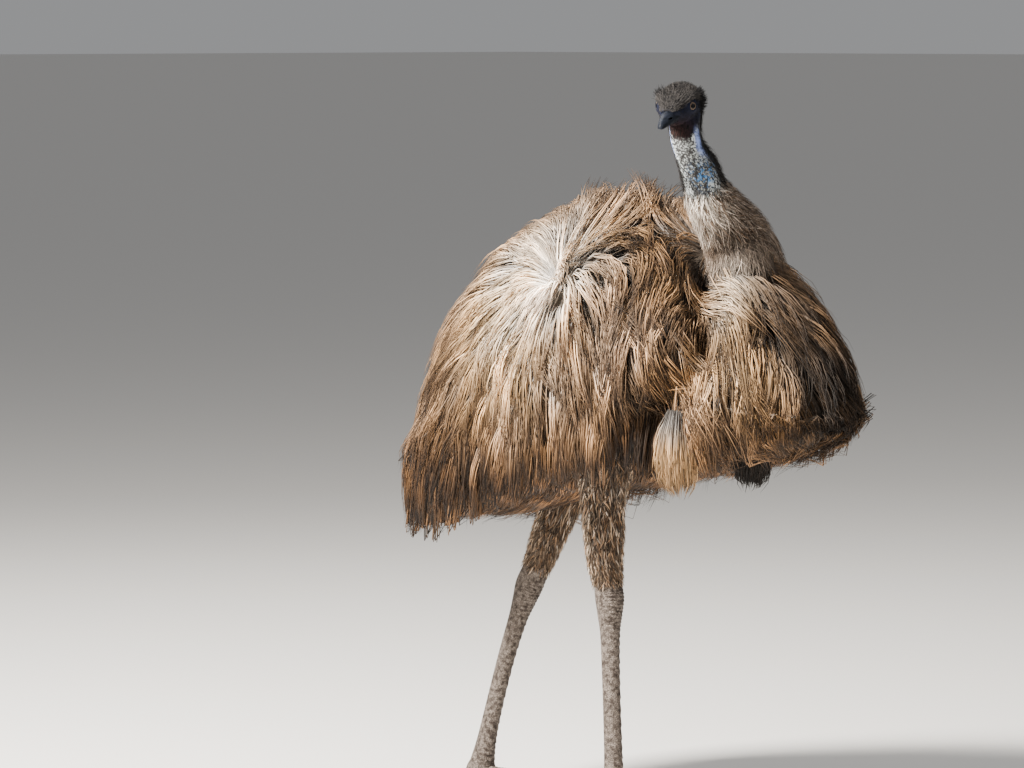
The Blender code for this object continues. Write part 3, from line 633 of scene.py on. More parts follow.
print("bill points", np.round(HEAD_AXES[0], 2), "and the eyes are",
      round(float(2 * (EYE_PLACE[1] + EYE_RADIUS) * 1000)), "mm apart over the lids")

# %% [markdown]
# ## One skin
# A live bird has one skin, so the body, neck, head, thighs, shanks and toes are one closed
# mesh. Neck and head are merged by a fine voxel remesh, which also melts their junction. The
# body is a loft a little inside the coat, and the legs are lofts whose rows step into scutes.
# Manifold Booleans then make one surface of them.

# %% Body under the coat
SKIN_INSET = 0.062
BREAST_TUCK = 0.040
BODY_RINGS = 60
BODY_SIDES = 96
NECK_RINGS = 60
NECK_SIDES = 48
LID_SIDES = 48
LID_SECTION = 10
HEAD_VOXEL = 0.0016


def tuck(points):
    """The breast's lower front edge, drawn upwards."""
    front = np.clip((-0.36 - points[..., 1]) / 0.14, 0, 1)
    raised = points.copy()
    raised[..., 2] += BREAST_TUCK * front * np.clip((0.80 - points[..., 2]) / 0.12, 0, 1)
    return raised


def body_under_coat():
    """The body's skin: the form drawn in, with the coat's fold and hollows."""
    stations = -np.cos(np.pi * (np.arange(BODY_RINGS) + 0.3) / (BODY_RINGS - 0.4))
    reach = np.where(stations < 0, FORM_FRONT, FORM_REAR) - SKIN_INSET
    angle = np.linspace(0, math.tau, BODY_SIDES, endpoint=False)
    rings = []
    for y in FORM_MID_Y + stations * reach:
        ring = form_point(np.full(BODY_SIDES, y), angle, SKIN_INSET)
        outer = settle(ring)
        rings.append(tuck(ring - form_normal(outer) * sunk(outer)[:, None]))
    return loft("body", rings)


def neck_under_coat(start, end, shrink):
    """The neck's skin, drawn in under the ruff and full where it is bare."""
    shares = np.linspace(start, end, NECK_RINGS)
    turns = np.linspace(0, math.tau, NECK_SIDES, endpoint=False)
    rings = []
    for share in shares:
        bare = np.clip((share - 0.62) / 0.2, 0, 1)
        slack = shrink + 0.010 * np.clip((0.34 - share) / 0.1, 0, 1)
        grow = bare * 0.0012 - (1 - bare) * slack
        ring, _ = tube_point(neck_rows, np.full(NECK_SIDES, share), turns, np.full(NECK_SIDES, grow))
        rings.append(ring)
    return loft("neck", rings)


def lid_ring(side):
    """A soft rim round the eye, lying on the eyeball."""
    centre, _, turn = eye_axes(side)
    lift = math.sqrt((EYE_RADIUS + 0.0006) ** 2 - LID_RING ** 2)
    angle = np.linspace(0, math.tau, LID_SIDES, endpoint=False)
    section = np.linspace(0, math.tau, LID_SECTION, endpoint=False)
    basis = np.array(turn.to_3x3())
    points, faces = [], []
    for i, a in enumerate(angle):
        spoke = np.array([math.cos(a) * 0.93, math.sin(a) * 1.06, 0.0])
        for k, b in enumerate(section):
            place = spoke * (LID_RING + LID_THICKNESS * math.cos(b))
            place = place + np.array([0, 0, lift + LID_THICKNESS * math.sin(b)])
            points.append(centre + basis @ place)
            this_row, next_row = i * LID_SECTION, (i + 1) % LID_SIDES * LID_SECTION
            m = (k + 1) % LID_SECTION
            faces.append((this_row + k, next_row + k, next_row + m, this_row + m))
    mesh = bpy.data.meshes.new("lid")
    mesh.from_pydata([tuple(p) for p in points], [], faces)
    return link("lid", mesh)


def socket_cutter(side):
    """What is taken out of the head for an eye: the eyeball's room and the lid opening."""
    centre, _, turn = eye_axes(side)
    place = Matrix.Translation(Vector(centre)) @ turn
    mesh_data = bmesh.new()
    bmesh.ops.create_uvsphere(mesh_data, u_segments=40, v_segments=24,
                              radius=EYE_RADIUS + 0.0002, matrix=place)
    ball = mesh_piece("socket", mesh_data)
    mesh_data = bmesh.new()
    wide = Matrix.Diagonal((EYE_OPENING[1], EYE_OPENING[0], 1.0, 1.0))
    bmesh.ops.create_cone(mesh_data, cap_ends=True, segments=40, radius1=0.86, radius2=1.40,
                          depth=0.016, matrix=place @ Matrix.Translation((0, 0, 0.0165)) @ wide)
    boolean(ball, [mesh_piece("opening", mesh_data)], "UNION")
    return ball


neck_head = join("neck_head", [
    neck_under_coat(0.10, 1.0, 0.0035), loft("skull", head_rings()),
    lid_ring("right"), lid_ring("left"),
])
remesh(neck_head, HEAD_VOXEL, 5)
boolean(neck_head, [socket_cutter("right"), socket_cutter("left")], "DIFFERENCE")
body = body_under_coat()
print("neck and head:", triangles(neck_head), "body:", triangles(body))

# %% [markdown]
# ### Scutes on the shanks and toes
# The front of an emu's shank is one row of broad overlapping scutes, its sides and back are
# small round scales. The broad scutes are real relief: along the leg the surface rises and
# drops like a saw, strongest in front.

# %% Shanks with scutes
SHANK_SCUTES = 34
SCUTE_RISE = 0.0019
REAR_SCALE_RISE = 0.0005
SHANK_FLATTENING = 0.0010
SHANK_SIDES = 30
SHANK_RINGS = 190
THIGH_END = 0.36


def saw(share, count):
    """A slow rise and a quick fall for each of count scutes."""
    part = (share * count) % 1.0
    return np.where(part < 0.82, part / 0.82, (1 - part) / 0.18)


def shank(side):
    """The scaly leg from the thigh's plumes down to the foot."""
    rows = leg_rows[side]
    shares = np.linspace(0.30, 1.0, SHANK_RINGS)
    turns = np.linspace(0, math.tau, SHANK_SIDES, endpoint=False)
    rings = []
    for share in shares:
        facing = np.clip(np.cos(turns), 0, 1) ** 0.7
        back = np.clip(-np.cos(turns), 0, 1)
        down = (share - HOCK_SHARE) / (1 - HOCK_SHARE)
        strength = np.clip((down + 0.02) * 12, 0, 1)
        rise = SCUTE_RISE * facing * saw(down, SHANK_SCUTES) * strength
        rise += REAR_SCALE_RISE * back * saw(down + 0.013, SHANK_SCUTES * 1.6) * strength
        rise -= SHANK_FLATTENING * (np.abs(np.sin(turns)) ** 6) * strength
        points, _ = tube_point(rows, np.full(SHANK_SIDES, share), turns, rise - 0.0012)
        rings.append(points)
    return loft(f"shank_{side}", rings)


def thigh(side):
    """The skin under the drumstick's plumes."""
    turns = np.linspace(0, math.tau, SHANK_SIDES, endpoint=False)
    rings = []
    for share in np.linspace(0.0, THIGH_END, 20):
        grow = np.full(SHANK_SIDES, -0.008 + 0.004 * share / THIGH_END)
        rings.append(tube_point(leg_rows[side], np.full(SHANK_SIDES, share), turns, grow)[0])
    return loft(f"thigh_{side}", rings)


print("scutes on a shank:", SHANK_SCUTES)

# %% [markdown]
# ### Feet
# Three forward toes on a round pad, and no hind toe. Each toe is a row of plates above and
# soft pads below, flat where it rests on the floor.

# %% Toes and pads
FOOT_HEADINGS = {"right": math.radians(-6), "left": math.radians(4)}
TOE_START = 0.0345
TOES = {
    "inner": (math.radians(-36), 0.088, 0.0125),
    "middle": (0.0, 0.128, 0.0150),
    "outer": (math.radians(36), 0.092, 0.0125),
}
PAD_RADIUS = 0.032
PAD_LEVELS = (
    (0.0003, 0.80), (0.003, 0.93), (0.009, 0.98), (0.018, 0.95), (0.028, 0.84), (0.036, 0.70),
)
TOE_PLATES = 15


def toe_axes(side, toe):
    """Sole centre, forward and sideways directions, length and half width of a toe."""
    turn, length, half_width = TOES[toe]
    heading = FOOT_HEADINGS[side] + turn * (-1 if side == "right" else 1)
    forward = np.array([math.sin(heading), -math.cos(heading), 0.0])
    across = np.array([-forward[1], forward[0], 0.0])
    sole = np.array([*leg_rows[side][-1][:2], 0.0])
    return sole, forward, across, length, half_width


def toe_piece(side, toe):
    """A toe with stepped plates above and soft pads below, flat on the floor."""
    sole, forward, across, length, half_width = toe_axes(side, toe)
    rings = []
    angle = np.linspace(0, math.tau, 20, endpoint=False)
    for share in np.linspace(-0.22, 1.0, 64):
        step = saw(share + 0.3, TOE_PLATES)
        width = half_width * (1.0 - 0.30 * max(share, 0)) * (0.96 + 0.04 * step)
        pad_wave = 0.5 + 0.5 * math.cos(math.tau * (share * 3.0 - 0.15))
        width *= 0.93 + 0.07 * pad_wave
        top = half_width * (1.72 - 0.80 * max(share, 0)) + 0.0013 * step
        end = math.sqrt(max(0.0, 1 - max(0.0, (share - 0.90) / 0.12) ** 2))
        side_offset = width * np.sign(np.cos(angle)) * np.abs(np.cos(angle)) ** 0.8 * end
        up = top * 0.5 * np.sin(angle) * end
        height = np.maximum(top * 0.5 + up, 0.0003)
        middle = sole + forward * (TOE_START + length * share)
        ring = middle + across * side_offset[:, None] + np.outer(height, (0, 0, 1.0))
        rings.append(ring)
    return loft(f"toe_{side}_{toe}", rings)


def foot_pad(side):
    """The round pad from which the toes spread."""
    sole = np.array([*leg_rows[side][-1][:2], 0.0])
    angle = np.linspace(0, math.tau, 40, endpoint=False)
    rings = []
    for height, size in PAD_LEVELS:
        spoke = np.stack([np.cos(angle), np.sin(angle), 0 * angle], -1) * PAD_RADIUS * size
        rings.append(sole + spoke + np.array([0, 0, height]))
    return loft(f"pad_{side}", rings)


# %% [markdown]
# ### One surface
# A union keeps only the outside of all parts, so no hidden wall stays inside the skin. The
# Manifold solver does it quickly, because every part is a closed surface.

# %% Join everything into one skin
parts = [neck_head]
for side in ("right", "left"):
    parts += [thigh(side), shank(side), foot_pad(side)]
    parts += [toe_piece(side, toe) for toe in TOES]
skin = body
skin.name = "skin"
boolean(skin, parts, "UNION")
print("skin:", triangles(skin), "triangles")

# %% [markdown]
# ## Node helpers for materials
# Every material is a small graph of nodes. A helper class keeps the graphs readable: each
# short call adds one node, fills its sockets with numbers or links, and returns its output.

# %% Material helpers
class Paint:
    """A material under construction: nodes are added and linked by short calls."""

    def __init__(self, name, roughness=0.7):
        self.material = bpy.data.materials.new(name)
        self.material.use_nodes = True
        self.tree = self.material.node_tree
        self.shader = self.tree.nodes["Principled BSDF"]
        self.shader.inputs["Roughness"].default_value = roughness

    def put(self, socket, value):
        if isinstance(value, bpy.types.NodeSocket):
            self.tree.links.new(value, socket)
        else:
            socket.default_value = value

    def node(self, kind, output, inputs=(), **settings):
        made = self.tree.nodes.new(kind)
        for key, value in settings.items():
            setattr(made, key, value)
        for key, value in dict(inputs).items():
            self.put(made.inputs[key], value)
        return made.outputs[output]

    def place(self):
        return self.node("ShaderNodeTexCoord", "Object")

    def attribute(self, name, output="Fac"):
        return self.node("ShaderNodeAttribute", output, attribute_name=name)

    def noise(self, scale, detail=3.0, vector=None, output="Fac"):
        vector = vector or self.place()
        inputs = {"Vector": vector, "Scale": scale, "Detail": detail}
        return self.node("ShaderNodeTexNoise", output, inputs)

    def cells(self, scale, vector=None, feature="F1", output="Distance"):
        vector = vector or self.place()
        inputs = {"Vector": vector, "Scale": scale}
        return self.node("ShaderNodeTexVoronoi", output, inputs, feature=feature)

    def stretch(self, sizes, vector=None):
        vector = vector or self.place()
        return self.node("ShaderNodeMapping", "Vector", {"Vector": vector, "Scale": sizes})

    def fit(self, value, low, high, to_low=0.0, to_high=1.0):
        inputs = {"Value": value, "From Min": low, "From Max": high,
                  "To Min": to_low, "To Max": to_high}
        return self.node("ShaderNodeMapRange", "Result", inputs)

    def math(self, operation, a, b):
        made = self.tree.nodes.new("ShaderNodeMath")
        made.operation = operation
        self.put(made.inputs[0], a)
        self.put(made.inputs[1], b)
        return made.outputs[0]

    def mix(self, factor, a, b, blend="MIX"):
        made = self.tree.nodes.new("ShaderNodeMix")
        made.data_type = "RGBA"
        made.blend_type = blend
        self.put(made.inputs[0], factor)
        self.put(made.inputs[6], a)
        self.put(made.inputs[7], b)
        return made.outputs[2]

    def colour(self, value):
        self.put(self.shader.inputs["Base Color"], value)

    def bump(self, height, strength, distance):
        normal = self.node("ShaderNodeBump", "Normal", {
            "Height": height, "Strength": strength, "Distance": distance,
        })
        self.put(self.shader.inputs["Normal"], normal)


def rgb(red, green, blue):
    return (red, green, blue, 1.0)


# %% [markdown]
# ## Markings shared by skin and coat
# Skin and coat must agree, so each vertex gets the same few numbers: how pale the place is,
# and for the skin which part of the body it belongs to. They are functions of the place on
# the bird, never of the photograph's pixels. A patch is a centre, the size over which it fades,
# and how much it adds or, for painted shade, how much light it takes away. The coat also
# carries painted shade: in the fold, on the sides turned away from the key light, and towards
# the bottom of the body.

# %% Marking functions
PALE_FLANK = FLANK_WHORL + np.array([-0.005, 0.040, -0.015])
PALE_LIT_BREAST = np.array([-0.092, -0.328, 1.018])
BREAST_LOBES = np.array([-0.168, -0.405, 0.845])
BASE_PALENESS = 0.15
# The breast patches are pale feathers brightened further by painted light, and the lobe patch is a painted
# highlight on the golden lobes.
PALE_PATCHES = (
    (PALE_FLANK, 0.130, 1.00), (PALE_FLANK + (-0.03, 0.02, -0.16), 0.120, 0.32),
    (PALE_LIT_BREAST, 0.050, 0.85), (PALE_LIT_BREAST + (-0.040, -0.028, -0.055), 0.042, 0.60),
    (BREAST_LOBES, 0.085, 0.24),
)
# Painted shade: beside the flank whorl and over the breast's far side, both turned away from the key light,
# beside the fold low down, under the rear, and under the front edge of the neck's ruff.
PAINTED_SHADE_PATCHES = (
    ((-0.158, -0.150, 1.090), 0.095, 0.54), ((0.000, -0.405, 0.970), 0.115, 0.62),
    ((0.050, -0.480, 0.870), 0.170, 0.80), ((-0.020, -0.510, 0.770), 0.120, 0.72),
    ((-0.262, -0.235, 0.745), 0.075, 0.60), ((-0.250, 0.300, 0.640), 0.150, 0.35),
    ((-0.052, -0.298, 1.088), 0.032, 0.82),
)


def paleness(points):
    """How pale the coat is: 1 in the whorl, less lower down the body, and less in the fold as painted
    shade.
    """
    value = BASE_PALENESS
    for centre, size, amount in PALE_PATCHES:
        value = value + amount * near(points, centre, size)
    value = value - 0.14 * np.clip((0.80 - points[..., 2]) / 0.18, 0, 1)
    # Paleness taken out of the fold is painted shade.
    return np.clip(value - 0.45 * valley(points), 0.0, 1.0)


def shade(points):
    """1 where no shade is painted, less in the fold, in the painted shade patches and towards the bottom of
    the body.
    """
    value = 1 - 0.45 * valley(points, 0.038)
    for centre, size, amount in PAINTED_SHADE_PATCHES:
        value = value * (1 - amount * near(points, centre, size))
    return value * (1 - 0.38 * np.clip((0.72 - points[..., 2]) / 0.12, 0, 1))


def dark_tips(points):
    """How dark feather tips are: fully on the flank, hardly in the pale places."""
    pale_places = 0.66 * near(points, PALE_FLANK, 0.12) + 0.75 * near(points, PALE_LIT_BREAST, 0.08)
    return np.clip(1.0 - pale_places, 0, 1)


def put_attribute(mesh, name, values):
    """Stores one number or one vector for each vertex."""
    values = np.asarray(values, np.float32)
    kind = "FLOAT" if values.ndim == 1 else "FLOAT_VECTOR"
    attribute = mesh.attributes.new(name, kind, "POINT")
    attribute.data.foreach_set("value" if values.ndim == 1 else "vector", values.ravel())


BLUE_SKIN = np.array([-0.1375, -0.3105, 1.196])
DARK_SIDE = np.array([-0.1275, -0.3205, 1.210])
CHIN = (0.012, 0.0, -0.046)
SCALES_BELOW = {"right": 0.455, "left": 0.435}
FACE_EDGE = 1.2580
PATCH_SIDE = 0.35
PATCH_HEIGHT = 1.2570


def mark_skin(mesh):
    """Says for each vertex of the skin which part it belongs to and what colours it."""
    points = vertices_of(mesh)
    local = to_head(points)
    height = points[:, 2]
    on_leg = np.zeros(len(points))
    for side, level in SCALES_BELOW.items():
        distance = distance_to_path(points, leg_rows[side][20::3, :3])
        on_leg = np.maximum(on_leg, (distance < 0.10) * np.clip((level - height) / 0.02, 0, 1))
    on_head = np.linalg.norm(local * np.array([0.8, 1, 1]), axis=1) < 0.095
    side = throat_side(points)
    edge = FACE_EDGE + 0.0205 * np.clip((0.87 - side) / 0.52, 0, 1)
    edge = edge + 0.014 * np.clip((0.35 - side) / 0.4, 0, 1)
    patch = np.exp(-((side - PATCH_SIDE) / 0.23) ** 4 - ((height - PATCH_HEIGHT) / 0.0240) ** 4)
    put_attribute(mesh, "leg", on_leg)
    put_attribute(mesh, "neck", np.clip((height - 1.10) / 0.03, 0, 1))
    put_attribute(mesh, "face", on_head * np.clip((height - edge) / 0.010, 0, 1))
    put_attribute(mesh, "throat", near(local * (1, 0.6, 1), CHIN, 0.026))
    put_attribute(mesh, "patch", patch)
    put_attribute(mesh, "blue", near(points, BLUE_SKIN, 0.022))
    # Dark nape skin, with painted shade on the side away from the key light.
    dark = np.maximum(np.clip((0.42 - side) / 0.25, 0, 1), 0.85 * near(points, DARK_SIDE, 0.027))
    put_attribute(mesh, "nape", dark)
    # Dark speckles on the neck's front, deepened and greyed as painted shade beside its lit edge.
    put_attribute(mesh, "speckled_and_shaded", np.clip((side - 0.72) / 0.18, 0, 1))
    put_attribute(mesh, "pale", paleness(points))


mark_skin(skin.data)
print("skin marked:", len(skin.data.vertices), "vertices")

# %% [markdown]
# ### Skin colours
# The body's skin is brown down, the neck is bare and blue-white under black speckles, the face
# blue-black with a rust-brown throat, and the legs are grey-brown scales. On the bare neck,
# painted shade darkens the nape side and greys the front. A skin material could be four
# materials, but one with masks has soft borders between its parts.

# %% Skin material
def skin_material():
    paint = Paint("bird_skin", 0.68)
    paint.shader.inputs["Specular IOR Level"].default_value = 0.14
    down = paint.mix(paint.noise(60), rgb(0.040, 0.026, 0.017), rgb(0.085, 0.058, 0.038))
    down = paint.mix(paint.attribute("pale"), down, rgb(0.42, 0.37, 0.32))
    bare = paint.mix(paint.noise(45), rgb(0.34, 0.40, 0.42), rgb(0.84, 0.87, 0.86))
    # The neck's front is greyed and more speckled: real speckles, partly painted shade.
    bare = paint.mix(paint.fit(paint.attribute("speckled_and_shaded"), 0, 1, 0, 0.55), bare, rgb(0.20, 0.21, 0.20))
    grain = paint.math("ADD", paint.noise(270, 4), paint.fit(paint.attribute("speckled_and_shaded"), 0, 1, 0, 0.055))
    grain = paint.math("ADD", grain, paint.fit(paint.noise(70, 2), 0.3, 0.7, -0.045, 0.045))
    speckles = paint.fit(grain, 0.46, 0.56)
    bare = paint.mix(speckles, bare, rgb(0.055, 0.054, 0.055))
    # Dark nape skin and painted shade on the side away from the key light.
    bare = paint.mix(paint.attribute("nape"), bare, rgb(0.035, 0.036, 0.042))
    spots = paint.math("MULTIPLY", paint.fit(paint.noise(150, 3), 0.50, 0.56), paint.attribute("blue"))
    bare = paint.mix(spots, bare, rgb(0.06, 0.22, 0.50))
    face = paint.mix(paint.noise(120, 4), rgb(0.002, 0.003, 0.008), rgb(0.005, 0.008, 0.024))
    face = paint.mix(paint.attribute("throat"), face, rgb(0.024, 0.009, 0.007))
    violet = paint.mix(paint.noise(260), rgb(0.17, 0.25, 0.58), rgb(0.34, 0.42, 0.74))
    scale_tone = paint.fit(paint.noise(130, 5), 0.36, 0.62)
    scales = paint.mix(scale_tone, rgb(0.045, 0.034, 0.028), rgb(0.20, 0.165, 0.140))
    grooves = paint.cells(300, feature="DISTANCE_TO_EDGE")
    scales = paint.mix(paint.fit(grooves, 0.0, 0.14), rgb(0.018, 0.013, 0.010), scales)
    colour = paint.mix(paint.attribute("neck"), down, bare)
    colour = paint.mix(paint.attribute("face"), colour, face)
    colour = paint.mix(paint.attribute("patch"), colour, violet)
    colour = paint.mix(paint.attribute("leg"), colour, scales)
    paint.colour(colour)
    leather = paint.noise(380, 4)
    rough = paint.mix(paint.attribute("leg"), leather, paint.fit(grooves, 0.0, 0.25))
    paint.bump(rough, 0.55, 0.0008)
    return paint.material


skin.data.materials.clear()
skin.data.materials.append(skin_material())
skin.data.shade_smooth()
FLESH = ["torso", "tail", "neck_lower", "neck_upper", "head"]
FLESH += [f"{part}_{side}" for part in ("drumstick", "shank") for side in ("left", "right")]
FLESH += [f"toe_{side}_{toe}" for side in ("left", "right") for toe in TOES]
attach(skin, BODY)
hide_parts(*FLESH)
print("skin stands for", len(FLESH), "solids")

# %% [markdown]
# ## Sweeping plumes along paths with Geometry Nodes
# Each plume is a thin blade swept along a path of a few points. The paths are made as edges
# with attributes: the side direction, the outward normal and the half sizes at every point.
# Geometry Nodes turn the edges into curves, sweep a small three-cornered profile along them,
# and place each corner exactly by those attributes, so that every blade lies flat on the coat.
# The corners also get the map OFBake: a tiny patch at the root's place on the unwrapped skin.

# %% The sweep as a node group
PATCH = 0.003
PROFILE_SIDES = 3


def sweep_group():
    """The node tree that sweeps blades, and the identifiers of its inputs."""
    tree = bpy.data.node_groups.new("plume_sweep", "GeometryNodeTree")
    face = tree.interface
    face.new_socket("Geometry", in_out="INPUT", socket_type="NodeSocketGeometry")
    sides = face.new_socket("Profile Sides", in_out="INPUT", socket_type="NodeSocketInt")
    patch = face.new_socket("Patch Size", in_out="INPUT", socket_type="NodeSocketFloat")
    stuff = face.new_socket("Material", in_out="INPUT", socket_type="NodeSocketMaterial")
    face.new_socket("Geometry", in_out="OUTPUT", socket_type="NodeSocketGeometry")
    new = tree.nodes.new
    wire = tree.links.new

    def named(name, kind):
        made = new("GeometryNodeInputNamedAttribute")
        made.data_type = kind
        made.inputs["Name"].default_value = name
        return made.outputs["Attribute"]

    def store(geometry, name, kind, domain, value):
        made = new("GeometryNodeStoreNamedAttribute")
        made.data_type = kind
        made.domain = domain
        made.inputs["Name"].default_value = name
        wire(geometry, made.inputs["Geometry"])
        wire(value, made.inputs["Value"])
        return made.outputs["Geometry"]

    def vector_math(operation, a, b):
        made = new("ShaderNodeVectorMath")
        made.operation = operation
        wire(a, made.inputs[0])
        wire(b, made.inputs["Scale"] if operation == "SCALE" else made.inputs[1])
        return made.outputs[0]

    def times(a, b):
        made = new("ShaderNodeMath")
        made.operation = "MULTIPLY"
        wire(a, made.inputs[0])
        if isinstance(b, float):
            made.inputs[1].default_value = b
        else:
            wire(b, made.inputs[1])
        return made.outputs[0]

    source = new("NodeGroupInput")
    sink = new("NodeGroupOutput")
    curves = new("GeometryNodeMeshToCurve")
    wire(source.outputs["Geometry"], curves.inputs["Mesh"])
    circle = new("GeometryNodeCurvePrimitiveCircle")
    circle.inputs["Radius"].default_value = 1.0
    wire(source.outputs["Profile Sides"], circle.inputs["Resolution"])
    corner = store(circle.outputs["Curve"], "corner", "FLOAT_VECTOR", "POINT",
                   new("GeometryNodeInputPosition").outputs["Position"])
    sweep = new("GeometryNodeCurveToMesh")
    wire(curves.outputs["Curve"], sweep.inputs["Curve"])
    wire(corner, sweep.inputs["Profile Curve"])
    sweep.inputs["Fill Caps"].default_value = True

    split = new("ShaderNodeSeparateXYZ")
    wire(named("corner", "FLOAT_VECTOR"), split.inputs[0])
    across = vector_math("SCALE", named("across", "FLOAT_VECTOR"),
                         times(split.outputs["Y"], named("half_width", "FLOAT")))
    rise = vector_math("SCALE", named("outward", "FLOAT_VECTOR"),
                       times(split.outputs["X"], named("half_depth", "FLOAT")))
    offset = vector_math("ADD", across, rise)
    place = vector_math("ADD", named("centre", "FLOAT_VECTOR"), offset)
    move = new("GeometryNodeSetPosition")
    wire(sweep.outputs["Mesh"], move.inputs["Geometry"])
    wire(place, move.inputs["Position"])

    spot = new("ShaderNodeCombineXYZ")
    wire(times(split.outputs["Y"], 0.5), spot.inputs["X"])
    wire(named("along", "FLOAT"), spot.inputs["Y"])
    patch_spot = vector_math("SCALE", spot.outputs[0], source.outputs["Patch Size"])
    flat = vector_math("ADD", named("root_uv", "FLOAT_VECTOR"), patch_spot)
    mapped = store(move.outputs["Geometry"], "OFBake", "FLOAT2", "CORNER", flat)
    real = new("GeometryNodeRealizeInstances")
    wire(mapped, real.inputs["Geometry"])
    paint = new("GeometryNodeSetMaterial")
    wire(real.outputs["Geometry"], paint.inputs["Geometry"])
    wire(source.outputs["Material"], paint.inputs["Material"])
    wire(paint.outputs["Geometry"], sink.inputs["Geometry"])
    return tree, {"sides": sides.identifier, "patch": patch.identifier, "stuff": stuff.identifier}


SWEEP, SOCKETS = sweep_group()
print("sweep nodes:", len(SWEEP.nodes))

# %% [markdown]
# ### From arrays to a piece
# A curve object for each plume would be slow. One mesh of loose edges holds all paths of a
# piece, and its attributes go in as whole arrays. The swept result becomes a plain mesh.

# %% Turn path arrays into a piece
SPENT = ("centre", "across", "outward", "half_width", "half_depth", "root_uv", "corner")


def plume_piece(name, paths, normals, half_width, half_depth, root_uv, marks, material):
    """Sweeps (count, steps, 3) paths into one mesh piece with its markings."""
    count, steps = paths.shape[:2]
    ahead = np.roll(paths, -1, axis=1)
    ahead[:, -1] = 2 * paths[:, -1] - paths[:, -2]
    behind = np.roll(paths, 1, axis=1)
    behind[:, 0] = 2 * paths[:, 0] - paths[:, 1]
    across = unit(np.cross(ahead - behind, normals))
    outward = unit(np.cross(across, ahead - behind))
    mesh = bpy.data.meshes.new(name)
    index = np.arange(count * steps).reshape(count, steps)
    edges = np.stack([index[:, :-1].ravel(), index[:, 1:].ravel()], -1)
    mesh.vertices.add(count * steps)
    mesh.vertices.foreach_set("co", paths.astype(np.float32).ravel())
    mesh.edges.add(len(edges))
    mesh.edges.foreach_set("vertices", edges.astype(np.int32).ravel())

    def flat(values):
        return np.broadcast_to(values, (count, steps)).reshape(-1)

    for key, vectors in (("centre", paths), ("across", across), ("outward", outward)):
        put_attribute(mesh, key, vectors.reshape(-1, 3))
    put_attribute(mesh, "half_width", flat(half_width))
    put_attribute(mesh, "half_depth", flat(half_depth))
    put_attribute(mesh, "along", flat(np.linspace(0, 1, steps)))
    uv = np.zeros((count, steps, 3))
    uv[..., :2] = root_uv[:, None, :]
    put_attribute(mesh, "root_uv", uv.reshape(-1, 3))
    for mark, values in marks.items():
        values = values[:, None] if values.ndim == 1 else values
        put_attribute(mesh, mark, flat(values))
    piece = link(name, mesh)
    modifier = piece.modifiers.new("sweep", "NODES")
    modifier.node_group = SWEEP
    modifier[SOCKETS["sides"]] = PROFILE_SIDES
    modifier[SOCKETS["patch"]] = PATCH
    modifier[SOCKETS["stuff"]] = material
    apply_modifiers(piece)
    for key in SPENT:
        layer = piece.data.attributes.get(key)
        if layer:
            piece.data.attributes.remove(layer)
    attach(piece, BODY)
    print(f"{name}: {count} plumes, {triangles(piece)} triangles")


# %% [markdown]
# ## The plumes of the body
# An emu's plume is a long, loose feather whose barbs don't hook together, so it looks like a
# lock of hair that runs out to a point. We scatter feathers evenly over the form and walk the
# spine of each along the lie. Where the surface turns under, the feather hangs free. Neighbours
# that belong to one lock sway alike and draw together. A few more short feathers fill the whorls.

# %% Walk feather spines over the form
FEATHERS = 8400
STRANDS = 5
SPINE_STEPS = 8
LOCKS = 1250
GATHER = 0.34
UNDERSIDE = -0.65
EXTRA_CANDIDATES = 60000
FEATHER_LENGTHS = (0.12, 0.24)
BELLY_SHARE = 0.4
EXTRA_SHARE = 0.45
HEM_RAGGED = 0.046
REAR_DROOP = 0.055
BREAST_DROOP = 0.014
BREAST_END = -0.25
BREAST_HANGS_BELOW = -0.22
FLANK_HANGS_BELOW = -0.58
BELLY_BEGINS = -0.85
BREAST_FAN = np.array([-0.150, -0.380, 0.900])


def scatter_roots(count, rng):
    """Places spread evenly over the form, as station and angle."""
    rows, columns = 160, 200
    turn = -np.cos(np.pi * (np.arange(rows + 1) / rows) * 0.994 + 0.003)
    edges_y = FORM_MID_Y + turn * np.where(turn < 0, FORM_FRONT, FORM_REAR)
    edges_a = np.linspace(0, math.tau, columns + 1)
    corner = form_point(edges_y[:, None] + 0 * edges_a, edges_a[None, :] + 0 * edges_y[:, None])
    du = corner[1:, :-1] - corner[:-1, :-1]
    dv = corner[:-1, 1:] - corner[:-1, :-1]
    total = np.cumsum(np.linalg.norm(np.cross(du, dv), axis=-1).ravel())
    pick = (np.arange(count) + rng.random(count)) / count * total[-1]
    cell = np.minimum(np.searchsorted(total, pick), len(total) - 1)
    row, column = np.divmod(cell, columns)
    y = edges_y[row] + (edges_y[row + 1] - edges_y[row]) * rng.random(count)
    angle = edges_a[column] + (edges_a[1] - edges_a[0]) * rng.random(count)
    return y, angle


def hem_height(start, rng):
    """Lowest level for the tips: the form's own hem, ragged, and drooping at the rear."""
    lowest = form_point(start[:, 1], np.full(len(start), math.pi))[:, 2]
    ragged = rng.uniform(-0.006, HEM_RAGGED, len(start))
    droop = REAR_DROOP * np.exp(-(((start[:, 1] - 0.24) / 0.17) ** 2))
    droop += BREAST_DROOP * np.clip((-0.20 - start[:, 1]) / 0.1, 0, 1)
    return lowest + ragged - droop


def nearest_lock(start, rng):
    """Which lock each feather belongs to: the nearest of LOCKS places on the form."""
    lock_y, lock_angle = scatter_roots(LOCKS, rng)
    squeeze = np.array([1.0, 1.0, 0.42])
    places = form_point(lock_y, lock_angle) * squeeze
    found = []
    for block in np.array_split(start * squeeze, 12):
        gap = ((block[:, None] - places[None]) ** 2).sum(-1)
        found.append(gap.argmin(1))
    return np.concatenate(found)


